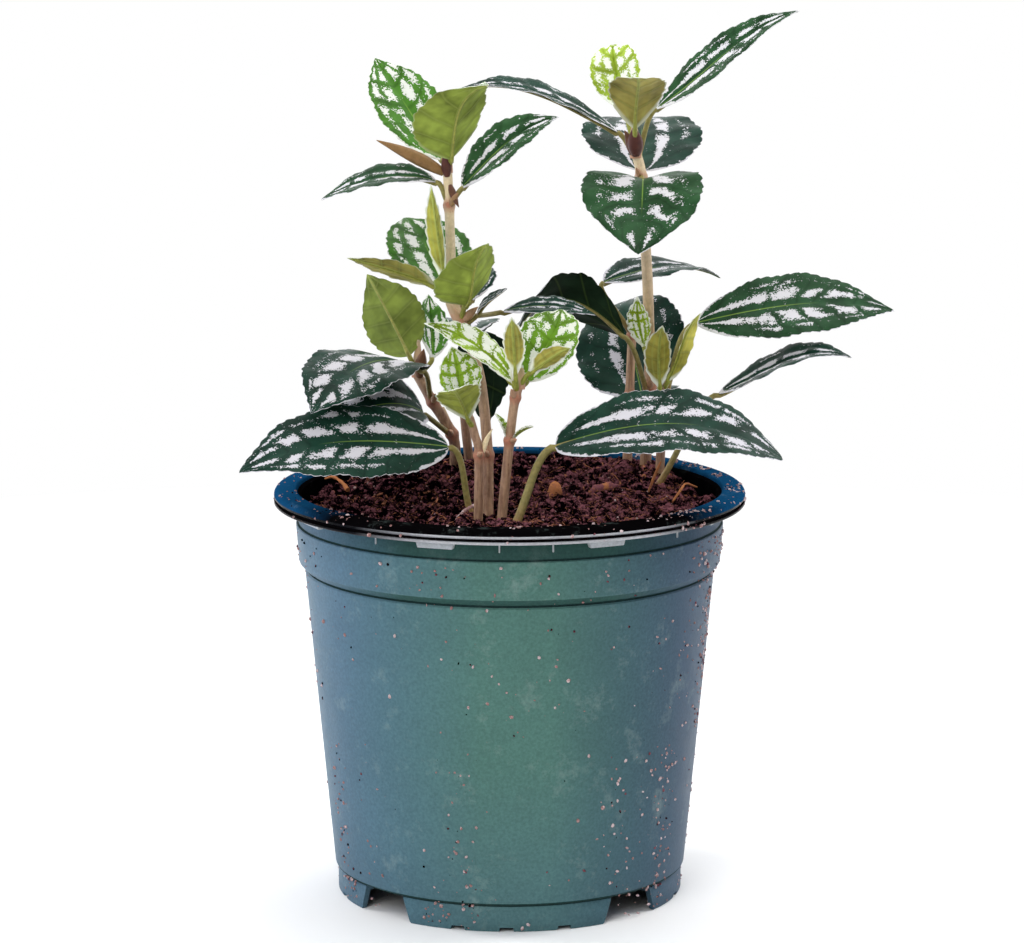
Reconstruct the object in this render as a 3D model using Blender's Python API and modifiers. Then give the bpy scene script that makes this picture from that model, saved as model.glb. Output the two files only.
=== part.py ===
"""Potted aluminium plant: a moulded nursery pot, its soil, eight stems and forty leaves.

Lengths are in millimetres and become metres through MM. Angles are in degrees.
The pot's axis is the Z axis, the surface it stands on is z = 0, and -Y is the front.
"""

import math

import bmesh
import bpy
import numpy as np
from mathutils import Matrix, Vector

MM = 0.001

# Gap that touching pieces keep
CLEARANCE = 0.3

# Pot, a 6 inch round nursery pot
POT_HEIGHT = 144.0
POT_SIDES = 44
RIM_RADIUS = 82.5
RIM_INNER_RADIUS = 74.4
RIM_BEVEL = 1.3
LIP_BOTTOM = 139.0
LIP_WALL = 1.3
FLANGE_WALL = 1.7
NECK_RADIUS = 74.0
NECK_WALL = 1.2
COLLAR_TOP = 131.6
COLLAR_TOP_RADIUS = 74.9
COLLAR_BOTTOM = 118.4
COLLAR_BOTTOM_RADIUS = 73.9
BODY_TOP = 115.8
BODY_TOP_RADIUS = 71.9
SKIRT = 9.2
SKIRT_RADIUS = 61.8
BODY_WALL = 1.3
FOOT_RADIUS = 60.9
FOOT_WALL = 2.3
FLOOR_TOP = 9.0
FLOOR_WALL = 2.0
BASE_DISC_RADIUS = 30.0
BASE_DISC_RISE = 4.0
CORNER = 3.0

# Four drain gaps through the foot ring, each open to the inside of the pot
DRAIN_COUNT = 4
DRAIN_FIRST_ANGLE = 44.0
DRAIN_WIDTH = 18.5
DRAIN_WIDENING = 1.42
DRAIN_INNER_RADIUS = 54.0
DRAIN_TOP = 9.2

# Small notches in the lower edge of each foot, by angle from the middle of the foot
NOTCH_ANGLES = (-16.0, 0.0, 19.0)
NOTCH_WIDTH = 4.5
NOTCH_HEIGHT = 1.4

# Lugs below the rim, on which a stack of pots rests
LUG_COUNT = 8
LUG_FIRST_ANGLE = 25.7
LUG_SIZE = (14.4, 2.4, 3.4)
LUG_CENTRE = (74.4, 137.5)

# Soil
SOIL_LEVEL = 138.6
SOIL_SIDES = 36
SOIL_RINGS = (0.0, 10.0, 20.0, 30.0, 40.0, 50.0, 61.0)
SOIL_EDGE_RADIUS = 72.2
# Each rise or hollow of the surface: x, y, height, spread
SOIL_MOUNDS = (
    (47.0, 42.0, 5.0, 15.0),
    (-20.0, 44.0, 4.6, 18.0),
    (14.0, 60.0, 3.4, 18.0),
    (0.0, -70.0, 3.0, 20.0),
    (66.0, 24.0, -4.0, 12.0),
    (-66.0, 8.0, -3.5, 16.0),
)
HOLE_EXTRA_DEPTH = 0.5

# Stems
STEM_SIDES = 8
STEM_ROOT_DEPTH = 16.0
NODE_SWELLING = 1.3
NODE_HALF_HEIGHT = 1.3
STEM_STEPS = 2
SHOOT_SIDES = 6
SHOOT_SHOULDER = 0.45

# Leaves
BLADE_THICKNESS = 0.7
BLADE_COLUMNS = 4
BLADE_START_HALF_WIDTH = 0.9
BLADE_TIP_HALF_WIDTH = 0.4
WIDEST_EXPONENT = 0.88
OUTLINE_FULLNESS = 0.74
PETIOLE_LEAVING = 0.4
PETIOLE_ARRIVING = 0.25
TWIG_TAPER = 0.15
TIP_TAPER_START = 0.72
TIP_TAPER = 0.5
TOOTH_DEPTH = 0.035
TOOTH_START = 0.2
RUFFLE = 0.018
RUFFLE_WAVES = 4
RUFFLE_SHIFT = 1.3
PETIOLE_SIDES = 4
PETIOLE_RADIUS = 1.05
PETIOLE_END_RADIUS = 0.5
PETIOLE_STEPS = 3
MIDRIB_DROP = 0.3
MIDRIB_REACH = (0.1,)

# Each stem: radius, the points of its axis from the soil up, and the heights of its nodes
STEMS = {
    "stem_tall_left": (
        1.8,
        (
            (-7.4, -31.0, 138.5),
            (-7.5, -29.0, 160.0),
            (-9.4, -27.0, 182.0),
            (-11.9, -26.0, 193.0),
            (-16.6, -25.0, 206.0),
            (-19.4, -24.0, 214.0),
            (-20.3, -22.0, 236.0),
            (-20.6, -21.0, 245.0),
            (-21.2, -19.5, 258.0),
        ),
        (160.0, 206.0, 245.0),
    ),
    "stem_short_front": (
        1.6,
        ((-10.7, -45.0, 138.5), (-10.4, -46.0, 163.0), (-11.7, -47.0, 170.0), (-13.4, -47.0, 176.0)),
        (163.0,),
    ),
    "stem_middle_front": (
        1.7,
        ((-2.8, -39.0, 138.5), (0.0, -40.0, 167.0), (1.8, -41.0, 181.0), (3.4, -41.0, 186.5)),
        (167.0, 182.0),
    ),
    "stem_forked_left": (
        2.0,
        ((-19.6, 42.0, 142.5), (-20.4, 38.0, 155.0), (-27.6, 36.0, 168.0), (-33.4, 38.0, 178.0)),
        (156.0, 168.0),
    ),
    "stem_pink_back": (
        1.7,
        ((-14.6, 53.0, 142.5), (-16.6, 50.0, 163.0), (-16.8, 47.0, 184.0)),
        (182.0,),
    ),
    "stem_tall_right": (
        2.0,
        (
            (49.0, 45.0, 142.5),
            (50.4, 44.0, 172.0),
            (49.6, 42.0, 204.0),
            (48.6, 40.0, 222.0),
            (46.6, 34.0, 249.0),
            (44.6, 32.0, 258.0),
        ),
        (172.0, 249.0),
    ),
    "stem_right_back": (
        1.7,
        ((42.6, 50.0, 142.5), (43.4, 51.0, 168.0), (44.2, 51.0, 192.0)),
        (168.0, 190.0),
    ),
    "stem_right_short": (
        1.7,
        ((54.0, 38.0, 142.0), (54.6, 38.0, 158.0), (54.6, 38.0, 172.0)),
        (170.0,),
    ),
}

# Buds and side shoots fused to a stem: stem, start, end, radius at each end
SHOOTS = (
    ("stem_tall_left", (-21.2, -19.5, 256.0), (-21.6, -19.0, 267.0), 1.9, 0.5),
    ("stem_tall_left", (-16.6, -25.0, 204.5), (-21.0, -27.5, 212.5), 1.6, 0.9),
    ("stem_tall_right", (44.6, 32.0, 256.0), (43.8, 31.6, 269.0), 2.1, 0.6),
    ("stem_forked_left", (-20.4, 38.0, 154.0), (-24.6, 41.0, 165.0), 1.6, 1.1),
    ("stem_forked_left", (-33.4, 38.0, 176.5), (-32.6, 38.6, 190.0), 1.8, 0.5),
    ("stem_middle_front", (3.4, -41.0, 185.0), (4.2, -41.0, 192.0), 1.8, 0.5),
    ("stem_right_short", (54.6, 38.0, 171.0), (54.4, 38.4, 179.0), 1.6, 0.5),
    ("stem_short_front", (-13.4, -47.0, 175.0), (-14.4, -46.6, 180.0), 1.3, 0.5),
)

# Tiny leaves fused to a stem: stem, base, heading, rise, length, width
TINY_LEAVES = (
    ("stem_middle_front", (-1.2, -40.0, 167.6), 150.0, 62.0, 9.5, 4.6),
    ("stem_middle_front", (1.2, -40.4, 167.4), -12.0, 34.0, 8.5, 5.0),
)

# Each leaf: stem and height of its node, base of the blade, heading (0 is +X, 90 is away from the
# front), rise of the chord, length, width, roll, bow of the midrib near the base and near the tip,
# fold along the midrib, twist, sweep, rows of faces
LEAVES = {
    "leaf_tall_left_top_back": (
        "stem_tall_left", 257.0, (-23, -16, 260), 131, 42, 49, 25, -17, (0.00, 0.06), 11, 7, -0.03, 8),
    "leaf_tall_left_top_front": (
        "stem_tall_left", 257.0, (-20, -24, 261), -70, 36, 48, 29, 10, (-0.02, 0.17), 20, -5, 0.14, 8),
    "leaf_tall_left_upper_left": (
        "stem_tall_left", 245.0, (-25, -20, 253), 169, -10, 41, 20, -15, (0.16, 0.10), 9, 4, 0.02, 8),
    "leaf_tall_left_upper_right": (
        "stem_tall_left", 245.0, (-16, -20, 251), 20, 33, 42, 19, 23, (0.06, 0.16), 14, -7, -0.04, 8),
    "leaf_tall_left_upright": (
        "stem_tall_left", 212.0, (-22, -30, 220), -150, 81, 34, 9, 80, (0.02, 0.01), 46, 2, 0.00, 7),
    "leaf_tall_left_middle_back": (
        "stem_tall_left", 207.0, (-22, -18, 215), 112, 28, 45, 30, -9, (0.00, 0.13), 9, -5, 0.03, 8),
    "leaf_tall_left_middle_left": (
        "stem_tall_left", 206.0, (-26, -24, 218), -164, 19, 32, 15, 30, (0.04, 0.02), 5, 8, 0.00, 7),
    "leaf_tall_left_middle_front": (
        "stem_tall_left", 206.0, (-15, -31, 212), -70, 45, 34, 27, 17, (-0.14, 0.08), 20, -9, 0.12, 8),
    "leaf_tall_left_middle_right": (
        "stem_tall_left", 204.0, (-11, -25, 208), -12, 42, 14, 9, 15, (0.14, 0.02), 10, 0, 0.00, 5),
    "leaf_tall_left_middle_dark": (
        "stem_tall_left", 210.0, (-13, -18, 212), 55, 38, 16, 13, 0, (0.10, 0.10), 10, 0, 0.00, 5),
    "leaf_tall_left_lower_right": (
        "stem_tall_left", 207.0, (-2, -3, 206), -3, -2, 32, 15, 16, (0.10, 0.12), 7, 0, 0.00, 7),
    "leaf_tall_left_lower_back": (
        "stem_tall_left", 199.0, (-13, -12, 200), 77, -58, 44, 21, 7, (0.28, 0.02), 25, 6, -0.05, 8),
    "leaf_forked_upright_left": (
        "stem_forked_left", 177.0, (-36, 35, 185), 130, 48, 36, 25, 130, (0.00, -0.09), 25, 4, -0.02, 8),
    "leaf_forked_upright_right": (
        "stem_forked_left", 177.0, (-27.8, 41.2, 183), 96, 51, 27, 14, 24, (0.03, 0.01), 20, -5, 0.00, 7),
    "leaf_forked_drooping": (
        "stem_forked_left", 169.0, (-31, 20, 182), -122, -5, 69, 36, 0, (0.20, 0.13), 2, 22, 0.06, 11),
    "leaf_forked_low": (
        "stem_forked_left", 155.0, (-30.5, 22, 166), -158, -4, 44, 32, -36, (0.34, 0.16), 14, 0, -0.04, 8),
    "leaf_low_left": (
        "root", 0.0, (-21, -24, 162), -163, -4, 74, 36, -40, (0.05, 0.09), 2, -14, 0.11, 11),
    "leaf_short_front_upright": (
        "stem_short_front", 172.0, (-16, -44, 181), 135, 74, 19, 16, -25, (0.08, 0.10), 12, -6, 0.02, 7),
    "leaf_short_front_olive": (
        "stem_short_front", 173.0, (-14, -51, 176), -99, 27, 32, 16, 17, (0.14, 0.06), 18, 0, 0.00, 7),
    "leaf_middle_front_left": (
        "stem_middle_front", 184.0, (1, -41, 187), 178, 34, 36, 13, -35, (0.16, 0.16), 18, 6, 0.00, 8),
    "leaf_middle_front_right": (
        "stem_middle_front", 184.5, (6, -38, 187), 60, 43, 32, 22, 34, (0.13, 0.20), 22, 20, 0.06, 8),
    "leaf_middle_front_upright": (
        "stem_middle_front", 184.0, (2, -47, 191), -112, 80, 20, 8, 20, (0.09, 0.09), 22, 0, 0.00, 6),
    "leaf_middle_front_small": (
        "stem_middle_front", 185.0, (7, -44, 191), -31, 31, 19, 9, -40, (0.01, 0.09), 15, 0, 0.00, 5),
    "leaf_low_right": (
        "root", 0.0, (15.5, -40, 165), 3, -4, 78, 36, 27, (0.17, 0.25), 6, 0, 0.00, 11),
    "leaf_tall_right_arching_left": (
        "stem_tall_right", 253.0, (38, 33, 265), -168, 15, 60, 22, -14, (0.07, 0.19), 12, -4, 0.02, 11),
    "leaf_tall_right_far_right": (
        "stem_tall_right", 256.0, (52, 36, 273), 5, 34, 61, 19, 30, (-0.04, 0.10), 12, 6, -0.05, 11),
    "leaf_tall_right_top_back": (
        "stem_tall_right", 257.5, (41, 41, 272), 97, 37, 35, 20, -22, (0.00, 0.20), 24, -7, -0.02, 8),
    "leaf_tall_right_top_front": (
        "stem_tall_right", 257.0, (44, 25, 267), -90, 36, 34, 21, 5, (0.24, 0.10), 17, 8, -0.05, 7),
    "leaf_tall_right_heart_front": (
        "stem_tall_right", 249.0, (47, 24, 249), -94, -26, 48, 44, 0, (0.24, 0.06), 15, 0, -0.02, 11),
    "leaf_tall_right_heart_back": (
        "stem_tall_right", 249.0, (47, 43, 250), 89, 13, 58, 44, 5, (0.04, 0.17), 4, 7, 0.00, 11),
    "leaf_right_arching": (
        "stem_tall_right", 168.0, (40.5, 30, 193), -152, -1, 46, 29, 40, (0.60, 0.40), 8, 0, 0.00, 11),
    "leaf_right_big_back": (
        "stem_tall_right", 163.0, (48, 53, 167), 91, 30, 58, 42, -17, (-0.08, 0.30), 4, 6, -0.06, 11),
    "leaf_right_back_drooping": (
        "stem_right_back", 190.0, (34, 52, 209), 30, -2, 50, 25, 16, (0.07, 0.15), 6, 18, -0.08, 8),
    "leaf_right_back_hidden": (
        "stem_right_back", 156.0, (45, 60, 160), 75, 0, 44, 24, 0, (0.14, 0.16), 8, 0, 0.00, 7),
    "leaf_right_small_upright": (
        "stem_right_short", 171.0, (48, 36, 188), -130, 78, 19, 9, -142, (-0.16, -0.13), 20, 0, -0.08, 5),
    "leaf_right_young_left": (
        "stem_right_short", 170.5, (53.6, 32.2, 174), -80, 80, 23, 11, 0, (0.10, 0.12), 26, 0, 0.03, 7),
    "leaf_right_young_right": (
        "stem_right_short", 171.0, (57, 35, 176), -5, 65, 27, 15, -168, (0.03, -0.13), 11, -10, 0.01, 7),
    "leaf_right_big_side": (
        "stem_right_short", 166.0, (67, 46, 195), 4, 3, 72, 32, 37, (0.08, 0.15), 2, 2, 0.00, 11),
    "leaf_low_back_right": (
        "root", 0.0, (75, 36, 171), -14, 17, 50, 22, 16, (0.00, 0.18), 11, 3, -0.12, 8),
    "leaf_pink_back_hidden": (
        "stem_pink_back", 183.0, (-17, 56, 188), 84, -8, 44, 22, 0, (0.16, 0.18), 8, 0, 0.00, 7),
}

# How full the outline is in the leaves that are blunter than the others: less is fuller
FULLNESS = {
    "leaf_low_right": 0.5,
    "leaf_low_left": 0.62,
    "leaf_tall_right_heart_front": 0.62,
    "leaf_tall_right_heart_back": 0.62,
    "leaf_forked_low": 0.6,
}

# Where the petioles that rise straight from the soil leave it
ROOTS = {
    "leaf_low_left": (-13.4, -22.5, 138.5),
    "leaf_low_right": (1.4, -49.5, 138.5),
    "leaf_low_back_right": (53.5, 25.0, 140.5),
}

LEAF_FIELDS = (
    "stem", "node_height", "base", "heading", "rise", "length", "width",
    "roll", "bow", "fold", "twist", "sweep", "rows",
)

# What the tiny leaves have in common
TINY_LEAF_SHAPE = {
    "roll": 0.0,
    "bow": (0.1, 0.1),
    "fold": 20.0,
    "twist": 0.0,
    "sweep": 0.0,
    "rows": 4,
    "fullness": OUTLINE_FULLNESS,
}

# Edges sharper than this are shaded as edges: on moulded plastic, and on leaves, stems and soil
HARD_ANGLE = 35.0
SOFT_ANGLE = 60.0

# Colours of the materials: red, green, blue, roughness
POT_COLOUR = (0.08, 0.17, 0.16, 0.42)
SOIL_COLOUR = (0.03, 0.016, 0.013, 0.95)
STEM_COLOUR = (0.28, 0.19, 0.09, 0.5)
LEAF_COLOUR = (0.03, 0.11, 0.04, 0.38)


def clear_scene():
    for obj in list(bpy.data.objects):
        bpy.data.objects.remove(obj)


def new_collection(name, parent=None):
    collection = bpy.data.collections.new(name)
    (parent or bpy.context.scene.collection).children.link(collection)
    return collection


def new_object(name, mesh, collection):
    obj = bpy.data.objects.new(name, mesh)
    collection.objects.link(obj)
    return obj


def hide_helper(obj):
    obj.hide_render = True
    obj.display_type = "WIRE"
    return obj


def give_material(obj, colour):
    material = bpy.data.materials.new(obj.name)
    material.use_nodes = True
    shader = material.node_tree.nodes["Principled BSDF"]
    shader.inputs["Base Color"].default_value = (*colour[:3], 1.0)
    shader.inputs["Roughness"].default_value = colour[3]
    shader.inputs["Metallic"].default_value = 0.0
    obj.data.materials.clear()
    obj.data.materials.append(material)


def shade_round(obj, angle=HARD_ANGLE):
    obj.data.shade_smooth()
    obj.data.set_sharp_from_angle(angle=math.radians(angle))


def mesh_from_bmesh(name, bm):
    mesh = bpy.data.meshes.new(name)
    bm.to_mesh(mesh)
    bm.free()
    return mesh


def evaluated_mesh(obj):
    """The mesh of an object after its modifiers, welded and with its faces pointing out."""
    bpy.context.view_layer.update()
    graph = bpy.context.evaluated_depsgraph_get()
    mesh = bpy.data.meshes.new_from_object(obj.evaluated_get(graph))
    bm = bmesh.new()
    bm.from_mesh(mesh)
    bmesh.ops.remove_doubles(bm, verts=bm.verts, dist=0.00001)
    bmesh.ops.recalc_face_normals(bm, faces=bm.faces)
    bm.to_mesh(mesh)
    bm.free()
    return mesh


def apply_modifiers(obj):
    mesh = evaluated_mesh(obj)
    obj.modifiers.clear()
    obj.data = mesh


def combine(obj, operation, others):
    """Joins the other solids to an object, or cuts them from it, one after another."""
    for other in others:
        modifier = obj.modifiers.new(other.name, "BOOLEAN")
        modifier.operation = operation
        modifier.solver = "EXACT"
        modifier.object = other
        apply_modifiers(obj)


def keep_largest_body(obj):
    """Drops the loose scraps that a cut leaves beside an object."""
    bm = bmesh.new()
    bm.from_mesh(obj.data)
    left = set(bm.verts)
    bodies = []
    while left:
        body, edge = set(), {left.pop()}
        while edge:
            body |= edge
            near = {link.other_vert(vert) for vert in edge for link in vert.link_edges}
            edge = near - body
        left -= body
        bodies.append(body)
    largest = max(bodies, key=len)
    scraps = [vert for vert in bm.verts if vert not in largest]
    bmesh.ops.delete(bm, geom=scraps, context="VERTS")
    bm.to_mesh(obj.data)
    bm.free()


def tube(name, points, radii, sides, collection):
    """A closed tube along a path, made as a bevelled curve and kept as a mesh."""
    curve = bpy.data.curves.new(name, "CURVE")
    curve.dimensions = "3D"
    curve.bevel_depth = MM
    curve.bevel_resolution = (sides - 4) // 2
    curve.use_fill_caps = True
    spline = curve.splines.new("POLY")
    spline.points.add(len(points) - 1)
    for spot, point, radius in zip(spline.points, points, radii):
        spot.co = (*(Vector(point) * MM), 1.0)
        spot.radius = radius
    guide = new_object(name + "_guide", curve, collection)
    mesh = evaluated_mesh(guide)
    bpy.data.objects.remove(guide)
    bpy.data.curves.remove(curve)
    return new_object(name, mesh, collection)


def turned(name, profile, sides, collection):
    """A solid of revolution: the profile starts and ends on the axis and runs down its outer side."""
    bm = bmesh.new()
    verts = [bm.verts.new((radius * MM, 0.0, height * MM)) for radius, height in profile]
    for first, second in zip(verts, verts[1:]):
        bm.edges.new((first, second))
    obj = new_object(name, mesh_from_bmesh(name, bm), collection)
    screw = obj.modifiers.new("Turn", "SCREW")
    screw.steps = sides
    screw.render_steps = sides
    screw.use_merge_vertices = True
    screw.merge_threshold = 0.00005
    return obj


def box(name, size, centre, angle, collection, widening=1.0):
    """A box whose local X points away from the pot's axis at the given angle, and that can widen downwards."""
    bm = bmesh.new()
    bmesh.ops.create_cube(bm, size=1.0)
    for vert in bm.verts:
        if vert.co.z < 0.0:
            vert.co.y *= widening
    turn = Matrix.Rotation(math.radians(angle), 4, "Z")
    place = turn @ Matrix.Translation(Vector(centre) * MM) @ Matrix.Diagonal((*(Vector(size) * MM), 1.0))
    bmesh.ops.transform(bm, matrix=place, verts=bm.verts)
    return hide_helper(new_object(name, mesh_from_bmesh(name, bm), collection))


def pot_inner_profile():
    """The inside of the pot as radius and height, from the middle of the floor up to the rim."""
    return [
        (0.0, FLOOR_WALL),
        (BASE_DISC_RADIUS, FLOOR_WALL),
        (BASE_DISC_RADIUS + BASE_DISC_RISE, FLOOR_TOP),
        (SKIRT_RADIUS - BODY_WALL - CORNER, FLOOR_TOP),
        (SKIRT_RADIUS - BODY_WALL, FLOOR_TOP + CORNER),
        (BODY_TOP_RADIUS - BODY_WALL, BODY_TOP),
        (COLLAR_BOTTOM_RADIUS - BODY_WALL, COLLAR_BOTTOM),
        (COLLAR_TOP_RADIUS - BODY_WALL, COLLAR_TOP - NECK_WALL),
        (NECK_RADIUS - NECK_WALL, COLLAR_TOP + NECK_WALL),
        (NECK_RADIUS - NECK_WALL, POT_HEIGHT - FLANGE_WALL),
        (RIM_INNER_RADIUS, POT_HEIGHT - RIM_BEVEL / 2),
    ]


def pot_outer_profile():
    """The outside of the pot, from the flat top of the rim down to the middle of its base."""
    lip_inside = RIM_RADIUS - LIP_WALL
    flange_bottom = POT_HEIGHT - FLANGE_WALL
    return [
        (RIM_INNER_RADIUS + RIM_BEVEL, POT_HEIGHT),
        (RIM_RADIUS - RIM_BEVEL, POT_HEIGHT),
        (RIM_RADIUS, POT_HEIGHT - RIM_BEVEL),
        (RIM_RADIUS, LIP_BOTTOM),
        (lip_inside, LIP_BOTTOM),
        (lip_inside, flange_bottom),
        (NECK_RADIUS, flange_bottom),
        (NECK_RADIUS, COLLAR_TOP + 0.5),
        (COLLAR_TOP_RADIUS, COLLAR_TOP),
        (COLLAR_BOTTOM_RADIUS, COLLAR_BOTTOM),
        (BODY_TOP_RADIUS, BODY_TOP),
        (SKIRT_RADIUS, SKIRT),
        (FOOT_RADIUS, SKIRT - 0.2),
        (FOOT_RADIUS, 0.0),
        (FOOT_RADIUS - FOOT_WALL, 0.0),
        (FOOT_RADIUS - FOOT_WALL, FLOOR_TOP - FLOOR_WALL),
        (BASE_DISC_RADIUS + BASE_DISC_RISE, FLOOR_TOP - FLOOR_WALL),
        (BASE_DISC_RADIUS, 0.0),
        (0.0, 0.0),
    ]


def make_pot(collection, helpers):
    pot = turned("pot", pot_inner_profile() + pot_outer_profile(), POT_SIDES, collection)
    lugs = new_collection("Pot lugs", helpers)
    for index in range(LUG_COUNT):
        angle = LUG_FIRST_ANGLE + index * 360.0 / LUG_COUNT
        length, depth, height = LUG_SIZE
        box(f"lug_{index}", (depth, length, height), (LUG_CENTRE[0], 0.0, LUG_CENTRE[1]), angle, lugs)
    gaps = new_collection("Pot gaps", helpers)
    depth = RIM_RADIUS - DRAIN_INNER_RADIUS
    for index in range(DRAIN_COUNT):
        angle = DRAIN_FIRST_ANGLE + index * 360.0 / DRAIN_COUNT
        middle = (DRAIN_INNER_RADIUS + depth / 2, 0.0, DRAIN_TOP / 2 - 1.0)
        box(f"drain_{index}", (depth, DRAIN_WIDTH, DRAIN_TOP + 2.0), middle, angle, gaps, DRAIN_WIDENING)
        for notch, offset in enumerate(NOTCH_ANGLES):
            middle = (FOOT_RADIUS, 0.0, 0.0)
            size = (3 * FOOT_WALL, NOTCH_WIDTH, 2 * NOTCH_HEIGHT)
            foot_angle = angle + 180.0 / DRAIN_COUNT + offset
            box(f"notch_{index}_{notch}", size, middle, foot_angle, gaps)
    combine(pot, "UNION", lugs.objects)
    combine(pot, "DIFFERENCE", gaps.objects)
    shade_round(pot)
    give_material(pot, POT_COLOUR)
    return pot


def soil_rise(x, y):
    """Height of the soil above its level at a place in the pot."""
    return sum(
        height * math.exp(-((x - cx) ** 2 + (y - cy) ** 2) / (2 * spread**2))
        for cx, cy, height, spread in SOIL_MOUNDS
    )


def smooth_path(points, steps):
    """More points on a smooth curve through the given ones."""
    points = [np.array(point, float) for point in points]
    ends = [2 * points[0] - points[1], *points, 2 * points[-1] - points[-2]]
    path = []
    for before, start, end, after in zip(ends, ends[1:], ends[2:], ends[3:]):
        for step in range(steps):
            t = step / steps
            path.append(
                0.5 * (
                    2 * start
                    + (end - before) * t
                    + (2 * before - 5 * start + 4 * end - after) * t**2
                    + (3 * start - before - 3 * end + after) * t**3
                )
            )
    return path + [points[-1]]


def stem_path(name):
    """The smooth axis of a stem with its root below the soil."""
    points = STEMS[name][1]
    first = np.array(points[0], float)
    along = np.array(points[1], float) - first
    root = first - along / along[2] * STEM_ROOT_DEPTH
    return np.array([root, *smooth_path(points, STEM_STEPS)])


def point_on_stem(name, height):
    path = stem_path(name)
    return np.array([np.interp(height, path[:, 2], path[:, axis]) for axis in range(3)])


def stem_sections(name):
    """Points and radii along a stem, with a swelling at each node."""
    radius, _, nodes = STEMS[name]
    path = stem_path(name)
    low, high = path[0][2], path[-1][2]
    heights = {float(low): 1.0, float(high): 1.0}
    for node in nodes:
        heights[node - NODE_HALF_HEIGHT] = 1.0
        heights[node] = NODE_SWELLING
        heights[node + NODE_HALF_HEIGHT] = 1.0
    for point in path[1:-1]:
        if min(abs(point[2] - height) for height in heights) > 2 * NODE_HALF_HEIGHT:
            heights[float(point[2])] = 1.0
    ordered = sorted(heights)
    taper = [1.0 - TWIG_TAPER * (height - low) / (high - low) for height in ordered]
    radii = [radius * heights[height] * t for height, t in zip(ordered, taper)]
    return [point_on_stem(name, height) for height in ordered], radii


def shoot_tube(name, start, end, radius, end_radius, collection):
    start, end = np.array(start), np.array(end)
    points = [start, start + (end - start) * SHOOT_SHOULDER, end]
    return tube(name, points, (radius, radius, end_radius), SHOOT_SIDES, collection)


def direction(heading, rise):
    heading, rise = math.radians(heading), math.radians(rise)
    return np.array([
        math.cos(heading) * math.cos(rise),
        math.sin(heading) * math.cos(rise),
        math.sin(rise),
    ])


def midrib(leaf, along):
    """Points and tangents of a leaf's midrib, and the direction across the leaf there."""
    chord = direction(leaf["heading"], leaf["rise"])
    above = direction(leaf["heading"], leaf["rise"] + 90.0)
    aside = np.cross(chord, above)
    roll = math.radians(leaf["roll"])
    up = above * math.cos(roll) + aside * math.sin(roll)
    side = np.cross(chord, up)
    length, sweep = leaf["length"], leaf["sweep"]
    bow_in, bow_out = leaf["bow"]
    start = np.array(leaf["base"], float)
    first = start + length * (chord / 3 + up * bow_in + side * sweep / 2)
    second = start + length * (chord * 2 / 3 + up * bow_out + side * sweep)
    end = start + length * chord
    t = np.asarray(along, float)[:, None]
    points = (
        (1 - t) ** 3 * start + 3 * (1 - t) ** 2 * t * first + 3 * (1 - t) * t**2 * second + t**3 * end
    )
    tangents = (
        (1 - t) ** 2 * (first - start) + 2 * (1 - t) * t * (second - first) + t**2 * (end - second)
    )
    tangents /= np.linalg.norm(tangents, axis=1)[:, None]
    across = side - tangents * (tangents @ side)[:, None]
    across /= np.linalg.norm(across, axis=1)[:, None]
    return points, tangents, across


def half_width(leaf, along):
    """Half the width of the blade along the midrib, without its teeth."""
    body = np.sin(math.pi * along**WIDEST_EXPONENT) ** leaf["fullness"]
    taper = np.clip((along - TIP_TAPER_START) / (1 - TIP_TAPER_START), 0, 1) ** 1.5
    least = BLADE_START_HALF_WIDTH * (1 - along) + BLADE_TIP_HALF_WIDTH * along
    return np.maximum(leaf["width"] / 2 * body * (1 - TIP_TAPER * taper), least)


def blade_points(leaf, along, side):
    """Points of the blade: along runs 0 to 1 from base to tip, side -1 to 1 across it."""
    points, tangents, across = midrib(leaf, along)
    twist = np.radians(leaf["twist"]) * along
    up = np.cross(across, tangents)
    across = across * np.cos(twist)[:, None] + up * np.sin(twist)[:, None]
    up = np.cross(across, tangents)
    ramp = np.clip((along - TOOTH_START) / TOOTH_START, 0, 1)
    teeth = TOOTH_DEPTH * ramp * np.cos(math.pi * leaf["rows"] * along) * side**4
    half = half_width(leaf, along) * (1 + teeth)
    fold = math.radians(leaf["fold"])
    shift = np.where(side < 0, 0.0, RUFFLE_SHIFT)
    wave = np.sin(2 * math.pi * RUFFLE_WAVES * along + shift) * np.sin(math.pi * along)
    lift = np.abs(side) * half * math.sin(fold) + RUFFLE * leaf["width"] * np.abs(side) ** 3 * wave
    return points + across * (side * half * math.cos(fold))[:, None] + up * lift[:, None]


def blade(name, leaf, collection):
    """An open, waved grid made solid, with the same triangles on both faces."""
    bm = bmesh.new()
    bmesh.ops.create_grid(bm, x_segments=BLADE_COLUMNS, y_segments=leaf["rows"], size=1.0)
    along = np.clip(np.array([(vert.co.y + 1) / 2 for vert in bm.verts]), 0, 1)
    side = np.array([vert.co.x for vert in bm.verts])
    for vert, point in zip(bm.verts, blade_points(leaf, along, side)):
        vert.co = Vector(point) * MM
    obj = new_object(name, mesh_from_bmesh(name, bm), collection)
    obj.modifiers.new("Same triangles on both faces", "TRIANGULATE")
    solid = obj.modifiers.new("Thickness", "SOLIDIFY")
    solid.thickness = BLADE_THICKNESS * MM
    solid.offset = 0.0
    return obj


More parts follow.
